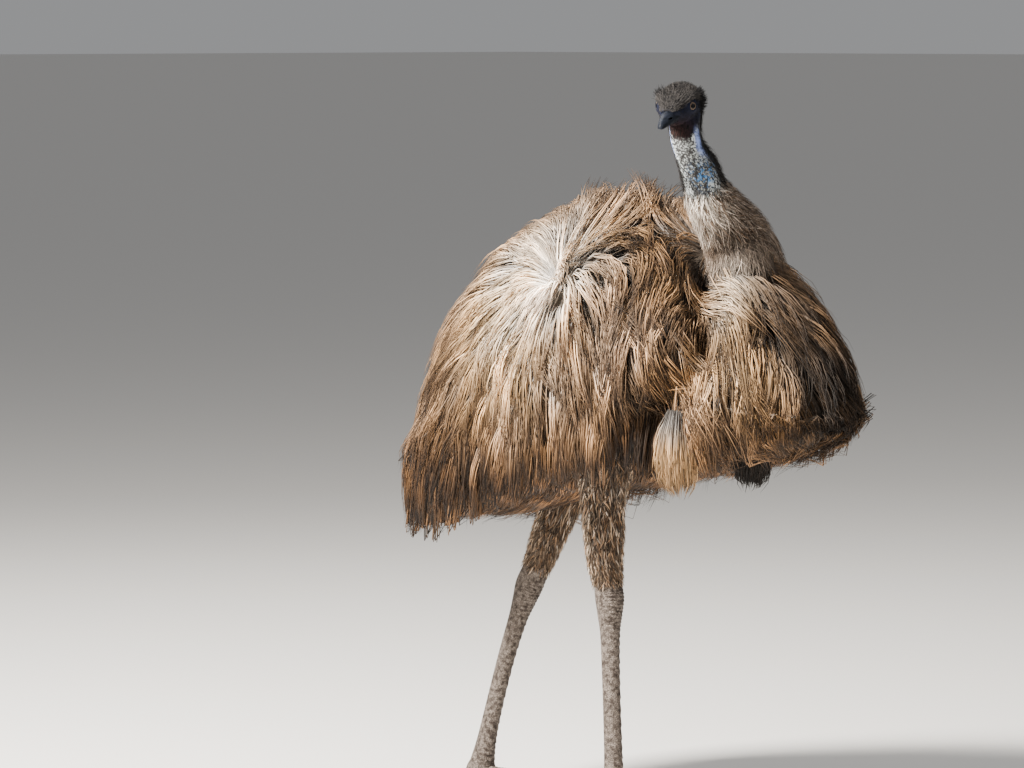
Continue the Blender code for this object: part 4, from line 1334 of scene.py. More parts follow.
def cut_at_hem(spines, hem):
    """Spines drawn again with evenly spaced points, each ending where it meets the hem."""
    below = spines[..., 2] < hem[:, None]
    reach = np.where(below.any(1), np.maximum(below.argmax(1) - 0.5, 1.0), SPINE_STEPS - 1.0)
    place = np.linspace(0, 1, SPINE_STEPS) * reach[:, None]
    low = np.minimum(place.astype(int), SPINE_STEPS - 2)
    rows = np.arange(len(spines))[:, None]
    mix = (place - low)[..., None]
    return spines[rows, low] * (1 - mix) + spines[rows, low + 1] * mix


def walk(start, lengths, lock, rng):
    """Spines of feathers that follow the lie, then hang free at the hem."""
    points = [settle(start)]
    under = form_normal(start)[:, 2] < UNDERSIDE
    hem = np.where(under, 0.0, hem_height(start, rng))
    sway = rng.normal(0, 0.14, (LOCKS, 1))[lock] + rng.normal(0, 0.06, (len(start), 1))
    bend = rng.normal(0, 0.06, (LOCKS, 1))[lock] + rng.normal(0, 0.03, (len(start), 1))
    step = (lengths / (SPINE_STEPS - 1))[:, None]
    for i in range(SPINE_STEPS - 1):
        here = points[-1]
        normal = form_normal(here)
        along = lie(here, normal)
        flow = unit(along + np.cross(normal, along) * (sway + bend * i))
        onward = settle(here + flow * step)
        free = here + unit(DOWN + 0.5 * flow) * step
        turned_under = np.where(here[:, 1] > BREAST_END, BREAST_HANGS_BELOW, FLANK_HANGS_BELOW)
        low = (normal[:, 2] < turned_under) & (normal[:, 2] > BELLY_BEGINS) & ~under
        points.append(np.where(low[:, None], free, onward))
    return cut_at_hem(np.stack(points, 1), hem)


def ruffle(points):
    """Where the wind lifts the feathers: over the back in front of the flank whorl."""
    lifted = 0.9 * near(points, (-0.080, -0.130, 1.150), 0.17)
    return lifted + 0.5 * near(points, (-0.150, -0.020, 1.110), 0.12)


def gather(spines, lock):
    """The feathers of one lock draw together sideways towards their tips."""
    middle = np.zeros((LOCKS, SPINE_STEPS, 3))
    np.add.at(middle, lock, spines)
    middle = middle[lock] / np.bincount(lock, minlength=LOCKS)[lock][:, None, None]
    heading = unit(middle[:, -1:] - middle[:, :1])
    offset = middle - spines
    offset -= heading * np.sum(offset * heading, axis=-1, keepdims=True)
    calm = 1 - near(spines[:, :1], FLANK_WHORL, 0.09) - near(spines[:, :1], SHOULDER_WHORL, 0.05)
    pull = GATHER * calm[..., None] * np.linspace(0, 1, SPINE_STEPS)[None, :, None] ** 1.5
    return spines + pull * offset


rng = np.random.default_rng(SEED)
root_y, root_angle = scatter_roots(FEATHERS, rng)
more_y, more_angle = scatter_roots(EXTRA_CANDIDATES, rng)
more = form_point(more_y, more_angle)
in_whorl = (near(more, FLANK_WHORL, 0.030) > 0.37) | (near(more, SHOULDER_WHORL, 0.022) > 0.37)
root_y = np.append(root_y, more_y[in_whorl])
root_angle = np.append(root_angle, more_angle[in_whorl])
starts = form_point(root_y, root_angle)
feathers = len(starts)
belly = form_normal(starts)[:, 2] < UNDERSIDE
lengths = rng.uniform(*FEATHER_LENGTHS, feathers) * np.where(belly, BELLY_SHARE, 1.0)
lengths *= 1 + 0.40 * np.clip((starts[:, 1] - 0.02) / 0.2, 0, 1)
lengths *= 1 + 0.35 * near(starts, BREAST_FAN, 0.16)
lengths[FEATHERS:] *= EXTRA_SHARE
lock = nearest_lock(starts, rng)
spines = gather(walk(starts, lengths, lock, rng), lock)
print("feather spines:", spines.shape)

# %% [markdown]
# ### From spines to strands
# Each feather is a handful of strands. They leave the root side by side, spread a little, and
# come together again at the tip. A few strands stray outwards. Every feather has a depth of its
# own, so that some ride over others, and the whole coat sinks into the fold.

# %% Spread the strands of each feather
SHELL = 0.050
STRAND_STEPS = 5
STRAND_HALF_WIDTH = 0.00130
STRAND_HALF_DEPTH = 0.00060
FEATHER_HALF_WIDTH = 0.0085
LOOSE_SHARE = 0.06
LOOSE_RISE = 0.008
STRAND_SHAPE = ([0, 0.35, 0.7, 1.0], [0.70, 1.0, 0.80, 0.32])
BOX_MARGIN = 0.002


def spread_strands(spines, rng):
    """Paths (feathers, strands, steps, 3) round each spine, and the form's normals there."""
    count = len(spines)
    t = np.linspace(0, 1, STRAND_STEPS)
    end = rng.uniform(0.74, 1.0, (count, STRANDS, 1))
    place = t * end * (SPINE_STEPS - 1)
    low = np.minimum(place.astype(int), SPINE_STEPS - 2)
    mix = (place - low)[..., None]
    rows = np.arange(count)[:, None, None]
    path = spines[rows, low] * (1 - mix) + spines[rows, low + 1] * mix
    normal = form_normal(path)
    heading = unit(spines[rows, low + 1] - spines[rows, low])
    side = np.cross(normal, heading)
    fan = np.linspace(-1, 1, STRANDS)[None, :, None] + rng.normal(0, 0.22, (count, STRANDS, 1))
    loose = rng.random((count, STRANDS, 1)) < LOOSE_SHARE
    profile = np.interp(t, *STRAND_SHAPE)
    width = FEATHER_HALF_WIDTH * rng.uniform(0.7, 1.25, (count, 1, 1)) * profile
    width = np.where(loose, width[:, :, ::-1] * 1.6, width)
    path = path + side * (fan * width)[..., None]
    rise = 0.0022 * np.cos(fan * 1.3) * profile + loose * LOOSE_RISE * t
    return path + normal * rise[..., None], normal


paths, normals = spread_strands(spines, rng)
lock_depth = rng.random(LOCKS)[lock][:, None, None]
feather_depth = 0.55 * lock_depth + 0.45 * rng.random((feathers, 1, 1))
t = np.linspace(0, 1, STRAND_STEPS)
tip_depth = 0.002 + 0.032 * feather_depth + 0.010 * belly[:, None, None]
lift = 0.046 * ruffle(paths) * rng.uniform(0.1, 1.4, (feathers, 1, 1)) * t ** 2
depth = tip_depth + (SHELL - tip_depth) * (1 - t) ** 2.3 + sunk(paths) - lift
paths = paths - normals * depth[..., None]
paths += rng.normal(0, 0.0012, paths.shape) * t[None, None, :, None]
paths = np.clip(tuck(paths), np.array(cad_low) + BOX_MARGIN, np.array(cad_high) - BOX_MARGIN)
print("strands:", feathers * STRANDS, "deepest root:", round(float(depth.max()), 3), "m")

# %% [markdown]
# ### Markings of the strands
# A material can't ask where a strand grows, only what is stored on it. So every strand carries
# the markings of its place along its length, and random numbers of its own, of its feather and
# of its lock. The tone of the coat varies at all three sizes.

# %% Widths and markings of the strands
GOLD_PATCHES = (
    ((-0.290, 0.130, 0.850), 0.20, 0.35), ((-0.140, -0.160, 1.090), 0.11, 0.45),
    (BREAST_LOBES, 0.12, 0.50), (FLANK_WHORL, 0.12, -0.50),
)


def goldness(points):
    """From grey-brown 0 to golden 1, in soft patches down the flank."""
    y, z = points[..., 1], points[..., 2]
    wave = np.sin(31 * y + 9 * z) * np.sin(23 * z - 11 * y + 1.3)
    value = 0.62 + 0.25 * wave
    for centre, size, amount in GOLD_PATCHES:
        value = value + amount * near(points, centre, size)
    return np.clip(value, 0, 1)


def per_feather(values):
    """A feather's value, repeated for each of its strands."""
    return np.repeat(values.reshape(feathers), STRANDS)


strand_shape = (feathers * STRANDS, STRAND_STEPS)
taper = np.array([0.62, 1.0, 0.96, 0.68, 0.07])
thick = rng.uniform(0.65, 1.3, (feathers, STRANDS, 1)) * taper
thick = thick * (1 + 0.45 * near(paths, PALE_FLANK, 0.12))
skin_uv = np.stack([(root_angle / math.tau) * 0.94 + 0.03,
                    0.03 + 0.94 * (root_y - root_y.min()) / np.ptp(root_y)], -1)
marks = {
    "pale": paleness(paths).reshape(strand_shape),
    "gold": goldness(paths).reshape(strand_shape),
    "tipped": dark_tips(paths).reshape(strand_shape),
    # Painted shade along each strand.
    "shade": shade(paths).reshape(strand_shape),
    "random": rng.random(feathers * STRANDS),
    "feather": per_feather(rng.random(feathers)),
    "lock": per_feather(rng.random(LOCKS)[lock]),
    "deep": per_feather(feather_depth),
}
paths = paths.reshape(*strand_shape, 3)
normals = normals.reshape(*strand_shape, 3)
half_width = (STRAND_HALF_WIDTH * thick).reshape(strand_shape)
half_depth = (STRAND_HALF_DEPTH * thick).reshape(strand_shape)
skin_uv = np.repeat(skin_uv, STRANDS, axis=0)

# %% [markdown]
# ### Feather colours
# A feather is pale at its foot, ash or golden brown along its middle and dark at its tip. The
# tips lie over the middles of the feathers below, which gives the coat its broken streaks.
# Where the coat is not pale, the foot is painted dark as shade in the gaps between feathers,
# deeper feathers are darkened as painted shade, and the shade mark darkens whole strands.

# %% Feather material
def feather_material():
    paint = Paint("plume", 0.60)
    paint.shader.inputs["Specular IOR Level"].default_value = 0.22
    along_it = paint.attribute("along")
    pale = paint.attribute("pale")
    gold = paint.attribute("gold")
    # Where paleness is low the foot is painted dark, as shade in the gaps between feathers; where it is
    # high the foot is pale.
    root = paint.mix(pale, rgb(0.055, 0.033, 0.021), rgb(0.86, 0.81, 0.75))
    ash = paint.mix(pale, rgb(0.118, 0.072, 0.043), rgb(0.86, 0.79, 0.71))
    golden = paint.mix(pale, rgb(0.270, 0.127, 0.044), rgb(0.95, 0.66, 0.35))
    middle = paint.mix(gold, ash, golden)
    tip = paint.mix(pale, rgb(0.016, 0.009, 0.006), rgb(0.20, 0.105, 0.045))
    colour = paint.mix(paint.fit(along_it, 0.15, 0.50), root, middle)
    tipped = paint.math("MULTIPLY", paint.fit(along_it, 0.50, 0.88), paint.attribute("tipped"))
    colour = paint.mix(tipped, colour, tip)
    tone = paint.fit(paint.attribute("feather"), 0.0, 1.0, 0.28, 1.66)
    # Lock and random tones differ at random; deep darkens deeper feathers as painted shade.
    for mark, first, last in (("lock", 0.46, 1.56), ("random", 0.70, 1.25), ("deep", 1.52, 0.16)):
        tone = paint.math("MULTIPLY", tone, paint.fit(paint.attribute(mark), 0.0, 1.0, first, last))
    # Painted shade from the shade mark.
    tone = paint.math("MULTIPLY", tone, paint.attribute("shade"))
    grey = paint.node("ShaderNodeCombineColor", "Color", {"Red": tone, "Green": tone, "Blue": tone})
    paint.colour(paint.mix(1.0, colour, grey, "MULTIPLY"))
    return paint.material


plume_paint = feather_material()
print("feather paint ready")

# %% [markdown]
# ### The coat in pieces
# All strands together would be too many triangles for one piece. They are sorted from the
# breast to the rump and divided into seven equal pieces, whose strands overlap at the borders.

# %% Build the coat in pieces
COAT_PIECES = ("breast", "shoulders", "withers", "back", "flanks", "loins", "rump")
order = np.argsort(np.repeat(starts[:, 1], STRANDS), kind="stable")
for name, chosen in zip(COAT_PIECES, np.array_split(order, len(COAT_PIECES))):
    piece_marks = {key: values[chosen] for key, values in marks.items()}
    plume_piece(f"coat_{name}", paths[chosen], normals[chosen], half_width[chosen],
                half_depth[chosen], skin_uv[chosen], piece_marks, plume_paint)

# %% [markdown]
# ### Hanging tufts
# Behind the breast a pale, rounded tuft hangs over the fold, and one in deep painted shade hangs
# below the breast. They are feathers of their own, bundled from an oval root area to a common tip.
# Each row says top, bottom, half width, feathers, and how pale, golden and light the tuft is; that
# light is painted shade, and the strands are shaded more at their roots, under the coat.

# %% Tufts below the breast
# Painted shade along a tuft's strands, darkest at the roots under the coat.
TUFT_LIGHT = np.array([0.25, 0.70, 1.0, 1.0, 0.9])
TUFTS = (
    ("tuft_pale", (-0.226, -0.310, 0.730), (-0.166, -0.272, 0.614), 0.034, 190, 0.36, 1.00, 0.92),
    # A tuft in deep painted shade.
    ("tuft_in_shade", (-0.070, -0.372, 0.700), (-0.052, -0.345, 0.630), 0.034, 130, 0.00, 0.30, 0.05),
)


def tuft_spines(top, bottom, spread, count, rng):
    """Spines from an oval root area, bowed outwards, drawing together at the bottom."""
    top, bottom = np.array(top), np.array(bottom)
    sideways = unit(np.cross(bottom - top, form_normal(top[None])[0])[None])[0]
    outward = form_normal(top[None])[0]
    shift = rng.uniform(-1, 1, (count, 1, 1)) * spread * sideways
    start = top + rng.uniform(-0.03, 0.03, (count, 1, 1)) * unit((top - bottom)[None])[0]
    end = bottom + rng.uniform(0.0, 0.045, (count, 1, 1)) * np.array([0, 0, 1.0])
    t = np.linspace(0, 1, SPINE_STEPS)[None, :, None]
    oval = np.interp(t, [0, 0.3, 0.65, 1], [0.30, 0.85, 1.0, 0.40])
    edge = np.sum(shift * sideways, axis=-1, keepdims=True) / spread
    bow = 0.020 * np.sin(np.pi * t ** 0.8) * (1 - 0.8 * edge ** 2)
    return start * (1 - t) + end * t + shift * oval + (bow - 0.045 * (1 - t) ** 2) * outward


def hanging_tuft(name, top, bottom, spread, count, pale, gold, light):
    rng = np.random.default_rng(SEED + count)
    paths, normals = spread_strands(tuft_spines(top, bottom, spread, count, rng), rng)
    rows = count * STRANDS
    width = np.tile(taper, (rows, 1)) * rng.uniform(0.7, 1.2, (rows, 1))
    marks = {"pale": pale * rng.uniform(0.5, 1.1, rows), "gold": np.full(rows, gold),
             "tipped": np.full(rows, 0.35), "shade": np.tile(light * TUFT_LIGHT, (rows, 1))}
    for mark in ("random", "feather", "lock", "deep"):
        marks[mark] = 0.15 + 0.7 * rng.random(rows)
    plume_piece(name, paths.reshape(rows, STRAND_STEPS, 3), normals.reshape(rows, STRAND_STEPS, 3),
                STRAND_HALF_WIDTH * width, STRAND_HALF_DEPTH * width,
                rng.uniform(0.03, 0.97, (rows, 2)), marks, plume_paint)


for tuft in TUFTS:
    hanging_tuft(*tuft)

# %% [markdown]
# ## Plumes of the neck
# Down the neck the plumes get shorter and thinner: a pale, streaky ruff at its foot, and on
# the bare blue-white skin above only sparse black hairs. One helper lays plumes along any tube,
# and a function for each kind says how they are marked.

# %% Neck plumes
def tube_plumes(name, rows, count, share_range, length_range, width, lift, marks_of, seed,
                material, downward, steps=5, turns=(0.0, math.tau), sink=0.006, swing=0.25):
    """Plumes on a tube, between two shares of its length; downward is 1 or -1 along the rows."""
    rng = np.random.default_rng(seed)
    share = share_range[0] + (share_range[1] - share_range[0]) * rng.random(count)
    turn = turns[0] + (turns[1] - turns[0]) * rng.random(count)
    path_length = np.linalg.norm(np.diff(rows[:, :3], axis=0), axis=1).sum()
    reach = rng.uniform(*length_range, count) / path_length
    drift = rng.normal(0, swing, count)
    t = np.linspace(0, 1, steps)
    shares = share[:, None] + downward * reach[:, None] * t[None]
    turn_all = turn[:, None] + drift[:, None] * t[None]
    tip_height = lift[0] + (lift[1] - lift[0]) * rng.random(count)
    height = tip_height[:, None] * t[None] ** 1.4 - sink * (1 - t[None]) ** 2
    points, normal = tube_point(rows, shares, turn_all, height)
    taper = np.interp(t, [0, 0.25, 0.6, 1.0], [0.6, 1.0, 0.85, 0.06])
    half = width * rng.uniform(0.6, 1.3, count)[:, None] * taper[None]
    uv = np.stack([0.03 + 0.94 * (turn % math.tau) / math.tau, 0.03 + 0.94 * share], -1)
    marks = marks_of(points, share, turn, rng)
    for mark in ("random", "feather", "lock", "gold", "deep", "tipped"):
        marks.setdefault(mark, rng.random(count))
    marks.setdefault("shade", np.ones(count))
    keep = marks.pop("keep", np.ones(count, bool))
    marks = {mark: values[keep] for mark, values in marks.items()}
    plume_piece(name, points[keep], normal[keep], half[keep], half[keep] * 0.4, uv[keep],
                marks, material)


# Painted shadow under the front edge of the ruff.
RUFF_SHADOW = np.array([-0.052, -0.298, 1.090])
RUFF_END = 1.112


def neck_marks(points, share, turn, rng):
    """Cream in front, dark grey towards the left and the nape with painted shade there, and a painted
    shadow under the ruff's front edge.
    """
    count = len(share)
    # Darker plumes and painted shade on the nape and on the side turned away from the key light.
    dark_and_shaded_side = np.clip((0.55 - turn) / 0.5, 0, 1) * (turn > -2.9)
    pale = 0.90 - 0.48 * (dark_and_shaded_side > rng.random(count) + 0.1)
    pale = pale * rng.uniform(0.65, 1.1, count)
    pale = np.where(rng.random(count) < 0.30, 0.06, pale)[:, None]
    low = np.clip((RUFF_END - points[:, :1, 2]) / 0.02, 0, 1)
    pale = pale * (1 - low) + (paleness(points) + 0.08) * low
    # Painted shadow under the ruff's front edge.
    ruff_shadow = near(points * (1, 1, 1.5), RUFF_SHADOW * (1, 1, 1.5), 0.036)
    light = (1 - 0.26 * dark_and_shaded_side)[:, None] * (1 - low) + shade(points) * low
    return {"pale": pale * (1 - ruff_shadow), "gold": np.full(count, 0.10), "shade": light * (1 - 0.85 * ruff_shadow),
            "tipped": 0.30 + 0.5 * dark_and_shaded_side, "deep": rng.uniform(0, 0.6, count)}


tube_plumes("ruff", neck_rows, 5600, share_range=(0.17, 0.61), length_range=(0.034, 0.060),
            width=0.00095, lift=(0.001, 0.010), marks_of=neck_marks, seed=11,
            material=plume_paint, downward=-1, turns=(-math.pi, math.pi), swing=0.32)

# %% [markdown]
# ### Black hairs of the bare neck
# Fine black hairs stand on the bare skin, few at the throat and many at the nape, where longer
# ones make a dark line down the neck.

# %% Sparse hairs on the bare neck
def hair_material():
    paint = Paint("black_bristle", 0.8)
    paint.shader.inputs["Specular IOR Level"].default_value = 0.1
    along_it = paint.attribute("along")
    chance = paint.attribute("random")
    dark = paint.mix(chance, rgb(0.004, 0.004, 0.005), rgb(0.022, 0.020, 0.019))
    pale = paint.mix(paint.attribute("pale"), rgb(0.006, 0.006, 0.007), rgb(0.105, 0.095, 0.088))
    paint.colour(paint.mix(along_it, dark, pale))
    return paint.material


bristle_paint = hair_material()


def hair_marks(points, share, turn, rng):
    """Dark hairs, thinned out towards the throat."""
    throat = throat_side(points[:, 0])
    keep = rng.random(len(share)) < np.clip(0.72 - 0.9 * throat, 0.24, 1.0)
    return {"pale": rng.uniform(0.0, 0.35, len(share)), "keep": keep}


tube_plumes("neck_hairs", neck_rows, 4600, share_range=(0.56, 0.98), length_range=(0.012, 0.026),
            width=0.00050, lift=(0.0008, 0.0045), marks_of=hair_marks, seed=12,
            material=bristle_paint, downward=-1, steps=4, sink=0.003)
tube_plumes("nape_plumes", neck_rows, 1500, share_range=(0.50, 1.00), length_range=(0.022, 0.045),
            width=0.00075, lift=(0.003, 0.010), marks_of=hair_marks, seed=13,
            material=bristle_paint, downward=-1, steps=4, turns=(-2.9, -1.0),
            sink=0.004)

# %% [markdown]
# ## Drumstick plumes
# The feathered upper leg is covered in short, close plumes down to the hock. The same helper
# lays them along the leg's path, which runs downwards.

# %% Drumstick plumes
def leg_marks(points, share, turn, rng):
    """Short pale flecks over reddish brown, with painted shade towards the bird's left, away from the key
    light.
    """
    count = len(share)
    # Painted shade: the side facing away from the key light loses its pale flecks and darkens.
    away = np.clip(np.cos(turn + 0.785), 0, 1)
    return {"pale": (0.05 + 0.85 * rng.random(count) ** 2.0) * (1 - 0.6 * away),
            "gold": rng.uniform(0.1, 0.7, count), "shade": 1 - 0.45 * away}


for side in ("right", "left"):
    tube_plumes(f"drumstick_plumes_{side}", leg_rows[side], 2600, share_range=(0.0, 0.400),
                length_range=(0.018, 0.042), width=0.0017, lift=(0.0, 0.005), marks_of=leg_marks,
                seed=21, material=plume_paint, downward=1)

# %% [markdown]
# ## Feathers of the head
# The crown carries short, streaky hair-like feathers that lie back to the nape, and the face
# finer black bristles. They run over the skull from the bill backwards, rise a little towards
# their tips, and leave a ring round each eye free.

# %% Head feathers
SKULL_BACK = -0.0745
SKULL_FRONT = 0.05
EYE_CLEARANCE = 0.0102


def head_surface(along, turn, height):
    """Places and normals over the skull; the turn is 0 on the crown."""
    rows = smooth_path(SKULL_STATIONS, 8)
    order = rows[:, 0]
    half = np.interp(along, order, rows[:, 1])
    top = np.interp(along, order, rows[:, 2])
    bottom = np.interp(along, order, rows[:, 3])
    tall = np.where(np.cos(turn) > 0, top, bottom)
    base = np.stack([along, half * np.sin(turn), tall * np.cos(turn)], -1)
    local = sculpt_face(base)
    spoke = unit(local * np.array([0.0, 1.0, 1.0]) + np.array([1e-6, 0, 1e-6]))
    back = np.clip((-0.050 - along) / 0.03, 0, 1)[..., None]
    spoke = unit(spoke * (1 - 0.6 * back) + np.array([-1.0, 0, 0]) * back * 0.6)
    return from_head(local + spoke * height[..., None]), unit(spoke @ HEAD_AXES)


def head_plumes(name, count, along_range, turn_range, length_range, width, lift, seed,
                pale=(0.0, 0.5), steps=4, both_sides=True, spread=0.12):
    """Short plumes that lie back over the skull, kept clear of the eyes."""
    rng = np.random.default_rng(seed)
    start = along_range[0] + (along_range[1] - along_range[0]) * rng.random(count)
    turn = turn_range[0] + (turn_range[1] - turn_range[0]) * rng.random(count)
    turn *= np.where((rng.random(count) < 0.5) & both_sides, -1, 1)
    t = np.linspace(0, 1, steps)
    reach = rng.uniform(*length_range, count) * np.clip(1.5 - 25 * start, 0.4, 1)
    along = np.clip(start[:, None] - reach[:, None] * t[None], SKULL_BACK, SKULL_FRONT)
    turns = turn[:, None] + rng.normal(0, spread, (count, 1)) * t[None]
    bill_end = np.clip((start - 0.014) / 0.026, 0, 1)
    tip = rng.uniform(*lift, count) * (1 - 0.75 * bill_end)
    height = tip[:, None] * t[None] ** 1.4 - 0.0025 * (1 - t[None]) ** 2 * (1 - 0.7 * bill_end[:, None])
    points, normal = head_surface(along, turns, height)
    points = np.minimum(points, np.array(cad_high) - 0.001)
    local = to_head(points)
    offset = np.stack([local[..., 0], np.abs(local[..., 1]), local[..., 2]], -1) - EYE_PLACE
    gaze = EYE_GAZE / np.linalg.norm(EYE_GAZE)
    depth = offset @ gaze
    ring = np.linalg.norm(offset - depth[..., None] * gaze, axis=-1)
    clear = np.all((ring > EYE_CLEARANCE) | (depth < 0), axis=1)
    taper = np.interp(t, [0, 0.3, 0.7, 1.0], [0.7, 1.0, 0.8, 0.08])
    half = width * rng.uniform(0.6, 1.3, count)[:, None] * taper[None]
    uv = np.stack([0.5 + 0.47 * turn / math.pi, 0.03 + 0.94 * (start + 0.08) / 0.13], -1)
    marks = {"pale": (rng.uniform(*pale, count) ** 2)[clear], "random": rng.random(count)[clear]}
    plume_piece(name, points[clear], normal[clear], half[clear], half[clear] * 0.45,
                uv[clear], marks, bristle_paint)


def throat_marks(points, share, turn, rng):
    return {"pale": 0.1 * rng.random(len(turn))}


head_plumes("crown_plumes", 5200, along_range=(-0.070, 0.049), turn_range=(0.0, 1.30),
            length_range=(0.012, 0.030), width=0.00042, lift=(0.0015, 0.0070), seed=31,
            pale=(0.0, 1.0))
head_plumes("cheek_plumes", 1500, along_range=(-0.066, -0.018), turn_range=(0.9, 2.5),
            length_range=(0.014, 0.028), width=0.00060, lift=(0.003, 0.014), seed=32,
            pale=(0.0, 0.3))
head_plumes("brow_tuft", 110, along_range=(-0.026, 0.002), turn_range=(-1.25, -0.85),
            length_range=(0.008, 0.018), width=0.00070, lift=(0.010, 0.017), seed=33,
            pale=(0.0, 0.3), both_sides=False)
tube_plumes("throat_bristles", neck_rows, 900, share_range=(0.88, 1.0), length_range=(0.010, 0.020),
            width=0.00055, lift=(0.0008, 0.0035), marks_of=throat_marks, seed=14,
            material=bristle_paint, downward=-1, steps=4, turns=(0.1, 2.3),
            sink=0.003)
head_plumes("face_bristles", 2200, along_range=(-0.050, 0.034), turn_range=(1.1, 3.14),
            length_range=(0.005, 0.011), width=0.00038, lift=(0.0005, 0.002), seed=34,
            pale=(0.0, 0.15), steps=3)

# %% [markdown]
# ### Hackles
# At the back of the head the feathers leave the skull and hang over the nape. They don't follow
# a surface, so their paths are drawn through the air: out a little, then down.

# %% Hackles from the back of the head
def nape_hackles(count, seed):
    """Loose black plumes that hang from the back of the head over the nape."""
    rng = np.random.default_rng(seed)
    start = rng.uniform(-0.073, -0.040, count)
    turn = rng.uniform(-2.2, 2.2, count)
    root, normal = head_surface(start, turn, np.full(count, -0.003))
    t = np.linspace(0, 1, 5)[None, :, None]
    back = -HEAD_AXES[0] * np.array([1, 1, 0])
    bow = normal[:, None] * rng.uniform(0.001, 0.005, (count, 1, 1)) * np.sin(np.pi * t ** 0.7)
    fall = (0.08 * back * t + DOWN * t ** 1.3) * rng.uniform(0.026, 0.056, (count, 1, 1))
    path = root[:, None] + bow + fall + rng.normal(0, 0.0012, (count, 5, 3)) * t
    half = np.array([0.7, 1.0, 0.9, 0.6, 0.08]) * rng.uniform(0.0004, 0.0008, (count, 1))
    outward = unit((path - neck_rows[-1, :3]) * np.array([1, 1, 0.2]))
    marks = {"pale": rng.uniform(0, 0.5, count) ** 2, "random": rng.random(count)}
    uv = np.stack([0.5 + 0.47 * turn / math.pi, 0.03 + 9 * (start + 0.08)], -1)
    plume_piece("nape_hackles", path, outward, half, half * 0.45, uv, marks, bristle_paint)


nape_hackles(1300, 35)

# %% [markdown]
# ## Eyes
# An emu's eye is large, with a pale orange-brown iris, a black pupil and a clear cornea. The
# eyeball is a dense sphere whose colours are rings about its own axis.

# %% Eyeballs
PUPIL_EDGE = (0.225, 0.245)
IRIS_EDGE = (0.345, 0.40)


def eyeball(side):
    centre, gaze, turn = eye_axes(side)
    mesh_data = bmesh.new()
    bmesh.ops.create_uvsphere(mesh_data, u_segments=48, v_segments=32, radius=EYE_RADIUS,
                              matrix=Matrix.Translation(Vector(centre)) @ turn)
    piece = mesh_piece(f"eyeball_{side}", mesh_data)
    off_gaze = np.degrees(np.arccos(np.clip(unit(vertices_of(piece.data) - centre) @ gaze, -1, 1)))
    put_attribute(piece.data, "off_axis", off_gaze / 90)
    piece.data.materials.append(eye_paint)
    piece.data.shade_smooth()
    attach(piece, BODY)
    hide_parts(f"eye_{side}")
    return piece


def eye_material():
    """Rings of pupil, iris and dark rim by the angle from the gaze, 1 at a right angle."""
    paint = Paint("eye_rings", 0.10)
    paint.shader.inputs["Specular IOR Level"].default_value = 0.08
    paint.shader.inputs["Coat Weight"].default_value = 0.10
    paint.shader.inputs["Coat Roughness"].default_value = 0.02
    ring = paint.attribute("off_axis")
    iris = paint.mix(paint.noise(1400, 4), rgb(0.055, 0.036, 0.025), rgb(0.200, 0.145, 0.105))
    colour = paint.mix(paint.fit(ring, *PUPIL_EDGE), rgb(0.002, 0.002, 0.003), iris)
    colour = paint.mix(paint.fit(ring, *IRIS_EDGE), colour, rgb(0.03, 0.014, 0.008))
    paint.colour(colour)
    return paint.material


eye_paint = eye_material()
for side in ("right", "left"):
    eyeball(side)
print("eyes in place, each", round(2000 * EYE_RADIUS), "mm across")

# %% [markdown]
# ## Bill
# A broad, slightly hooked black-brown bill. Upper and lower halves are half-round lofts that
# meet in the line of the mouth, and the nostrils are cut as long slots.

# %% Bill halves
UPPER_BILL = (
    (0.0320, 0.0174, 0.0225), (0.0440, 0.0152, 0.0180), (0.0550, 0.0131, 0.0142),
    (0.0660, 0.0109, 0.0117), (0.0760, 0.0084, 0.0098), (0.0830, 0.0060, 0.0074),
    (0.0864, 0.0032, 0.0044), (0.0872, 0.0010, 0.0016),
)
LOWER_BILL = (
    (0.0320, 0.0160, 0.0104), (0.0460, 0.0136, 0.0086), (0.0580, 0.0110, 0.0070),
    (0.0700, 0.0082, 0.0054), (0.0790, 0.0052, 0.0038), (0.0832, 0.0016, 0.0016),
)
BILL_RINGS = 52
BILL_SIDES = 33
MOUTH_GAP = 0.00036
NOSTRIL_ALONG = 0.0580
NOSTRIL_SIZE = (0.0078, 0.0030, 0.0018, 1.0)


def mouth_level(along):
    """Height of the line where the halves meet: it drops forwards and curves down."""
    past_base = np.maximum(np.asarray(along) - BILL_BASE, 0)
    return MOUTH_HEIGHT - MOUTH_DROP * np.asarray(along) - BILL_CURVE * past_base ** 2


def bill_half(name, stations, upper):
    """A half-round loft; the upper half has a ridge along its top."""
    rows = along_path(smooth_path(stations, 8), np.linspace(0, 1, BILL_RINGS))
    sign = 1 if upper else -1
    angle = np.linspace(0, math.pi, BILL_SIDES)
    rings = []
    for along, half_width, height in rows:
        level = mouth_level(along) + sign * MOUTH_GAP / 2
        ridge = 1 + 0.12 * np.exp(-((angle - math.pi / 2) / 0.30) ** 2) * upper
        across = half_width * np.sign(np.cos(angle)) * np.abs(np.cos(angle)) ** 0.80
        rise = height * np.abs(np.sin(angle)) ** 1.20 * ridge / (1.12 if upper else 1.0)
        ring = np.stack([np.full(BILL_SIDES, along), across, level + sign * rise], -1)
        rings.append(from_head(ring))
    return loft(name, rings)


def slot_cutter(side):
    """What is taken out of the upper half for a nostril."""
    mesh_data = bmesh.new()
    centre = from_head((NOSTRIL_ALONG, side * 0.0102, float(mouth_level(NOSTRIL_ALONG)) + 0.0070))
    turn = Matrix([list(row) for row in HEAD_AXES.T]).to_4x4()
    size = Matrix.Diagonal(NOSTRIL_SIZE)
    bmesh.ops.create_uvsphere(mesh_data, u_segments=24, v_segments=12, radius=1.0,
                              matrix=Matrix.Translation(Vector(centre)) @ turn @ size)
    return mesh_piece("nostril", mesh_data)


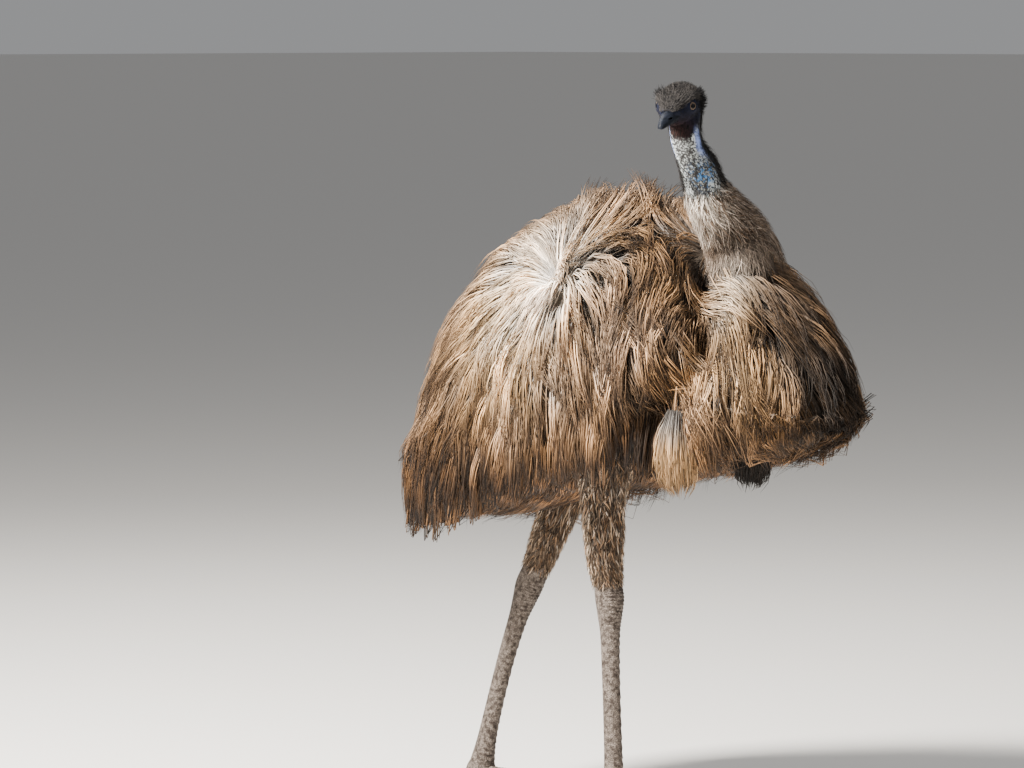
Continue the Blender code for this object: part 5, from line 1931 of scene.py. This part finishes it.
def horn_material(name, dark, light):
    paint = Paint(name, 0.55)
    paint.shader.inputs["Specular IOR Level"].default_value = 0.14
    streaks = paint.noise(240, 5, paint.stretch((0.3, 1.0, 1.0)))
    paint.colour(paint.mix(paint.fit(streaks, 0.35, 0.68), dark, light))
    paint.bump(paint.noise(700, 3), 0.25, 0.0003)
    return paint.material


horn = horn_material("bill_horn", rgb(0.002, 0.003, 0.005), rgb(0.009, 0.011, 0.018))
upper_bill = bill_half("upper_bill", UPPER_BILL, True)
boolean(upper_bill, [slot_cutter(-1), slot_cutter(1)], "DIFFERENCE")
lower_bill = bill_half("lower_bill", LOWER_BILL, False)
for piece, node in ((upper_bill, "bill_upper"), (lower_bill, "bill_lower")):
    piece.data.materials.clear()
    piece.data.materials.append(horn)
    piece.data.shade_smooth()
    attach(piece, BODY)
    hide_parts(node)
print("bill:", triangles(upper_bill) + triangles(lower_bill), "triangles")

# %% [markdown]
# ## Claws
# Blunt, curved, dark claws, one on each toe.

# %% Claws
CLAW_LENGTH = 0.026
CLAW_HALF_HEIGHT = 0.0064
claw_horn = horn_material("claw_horn", rgb(0.016, 0.014, 0.013), rgb(0.075, 0.062, 0.050))


def claw(side, toe):
    """A claw that narrows and drops towards its blunt end."""
    sole, forward, across, length, half_width = toe_axes(side, toe)
    rings = []
    angle = np.linspace(0, math.tau, 16, endpoint=False)
    for share in np.linspace(0, 1, 14):
        size = math.sqrt(max(0.0, 1 - share ** 1.7)) * 0.98 + 0.02
        height = 0.0085 - 0.0060 * share ** 1.6
        middle = sole + forward * (TOE_START + length + CLAW_LENGTH * (share - 0.10))
        offset = across * (np.cos(angle) * half_width * 0.50 * size)[:, None]
        up = np.maximum(height + np.sin(angle) * CLAW_HALF_HEIGHT * size, 0.0004)
        rings.append(middle + offset + np.outer(up, (0, 0, 1.0)))
    piece = loft(f"claw_horn_{side}_{toe}", rings)
    piece.data.materials.append(claw_horn)
    piece.data.shade_smooth()
    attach(piece, BODY)
    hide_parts(f"claw_{side}_{toe}")


for side in ("right", "left"):
    for toe in TOES:
        claw(side, toe)
print("claws:", 2 * len(TOES))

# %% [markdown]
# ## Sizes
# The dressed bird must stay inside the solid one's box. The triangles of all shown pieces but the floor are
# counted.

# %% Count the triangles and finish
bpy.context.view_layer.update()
total = sum(triangles(obj) for obj in bpy.data.objects
            if obj.type == "MESH" and not obj.hide_render and obj.name != "floor")
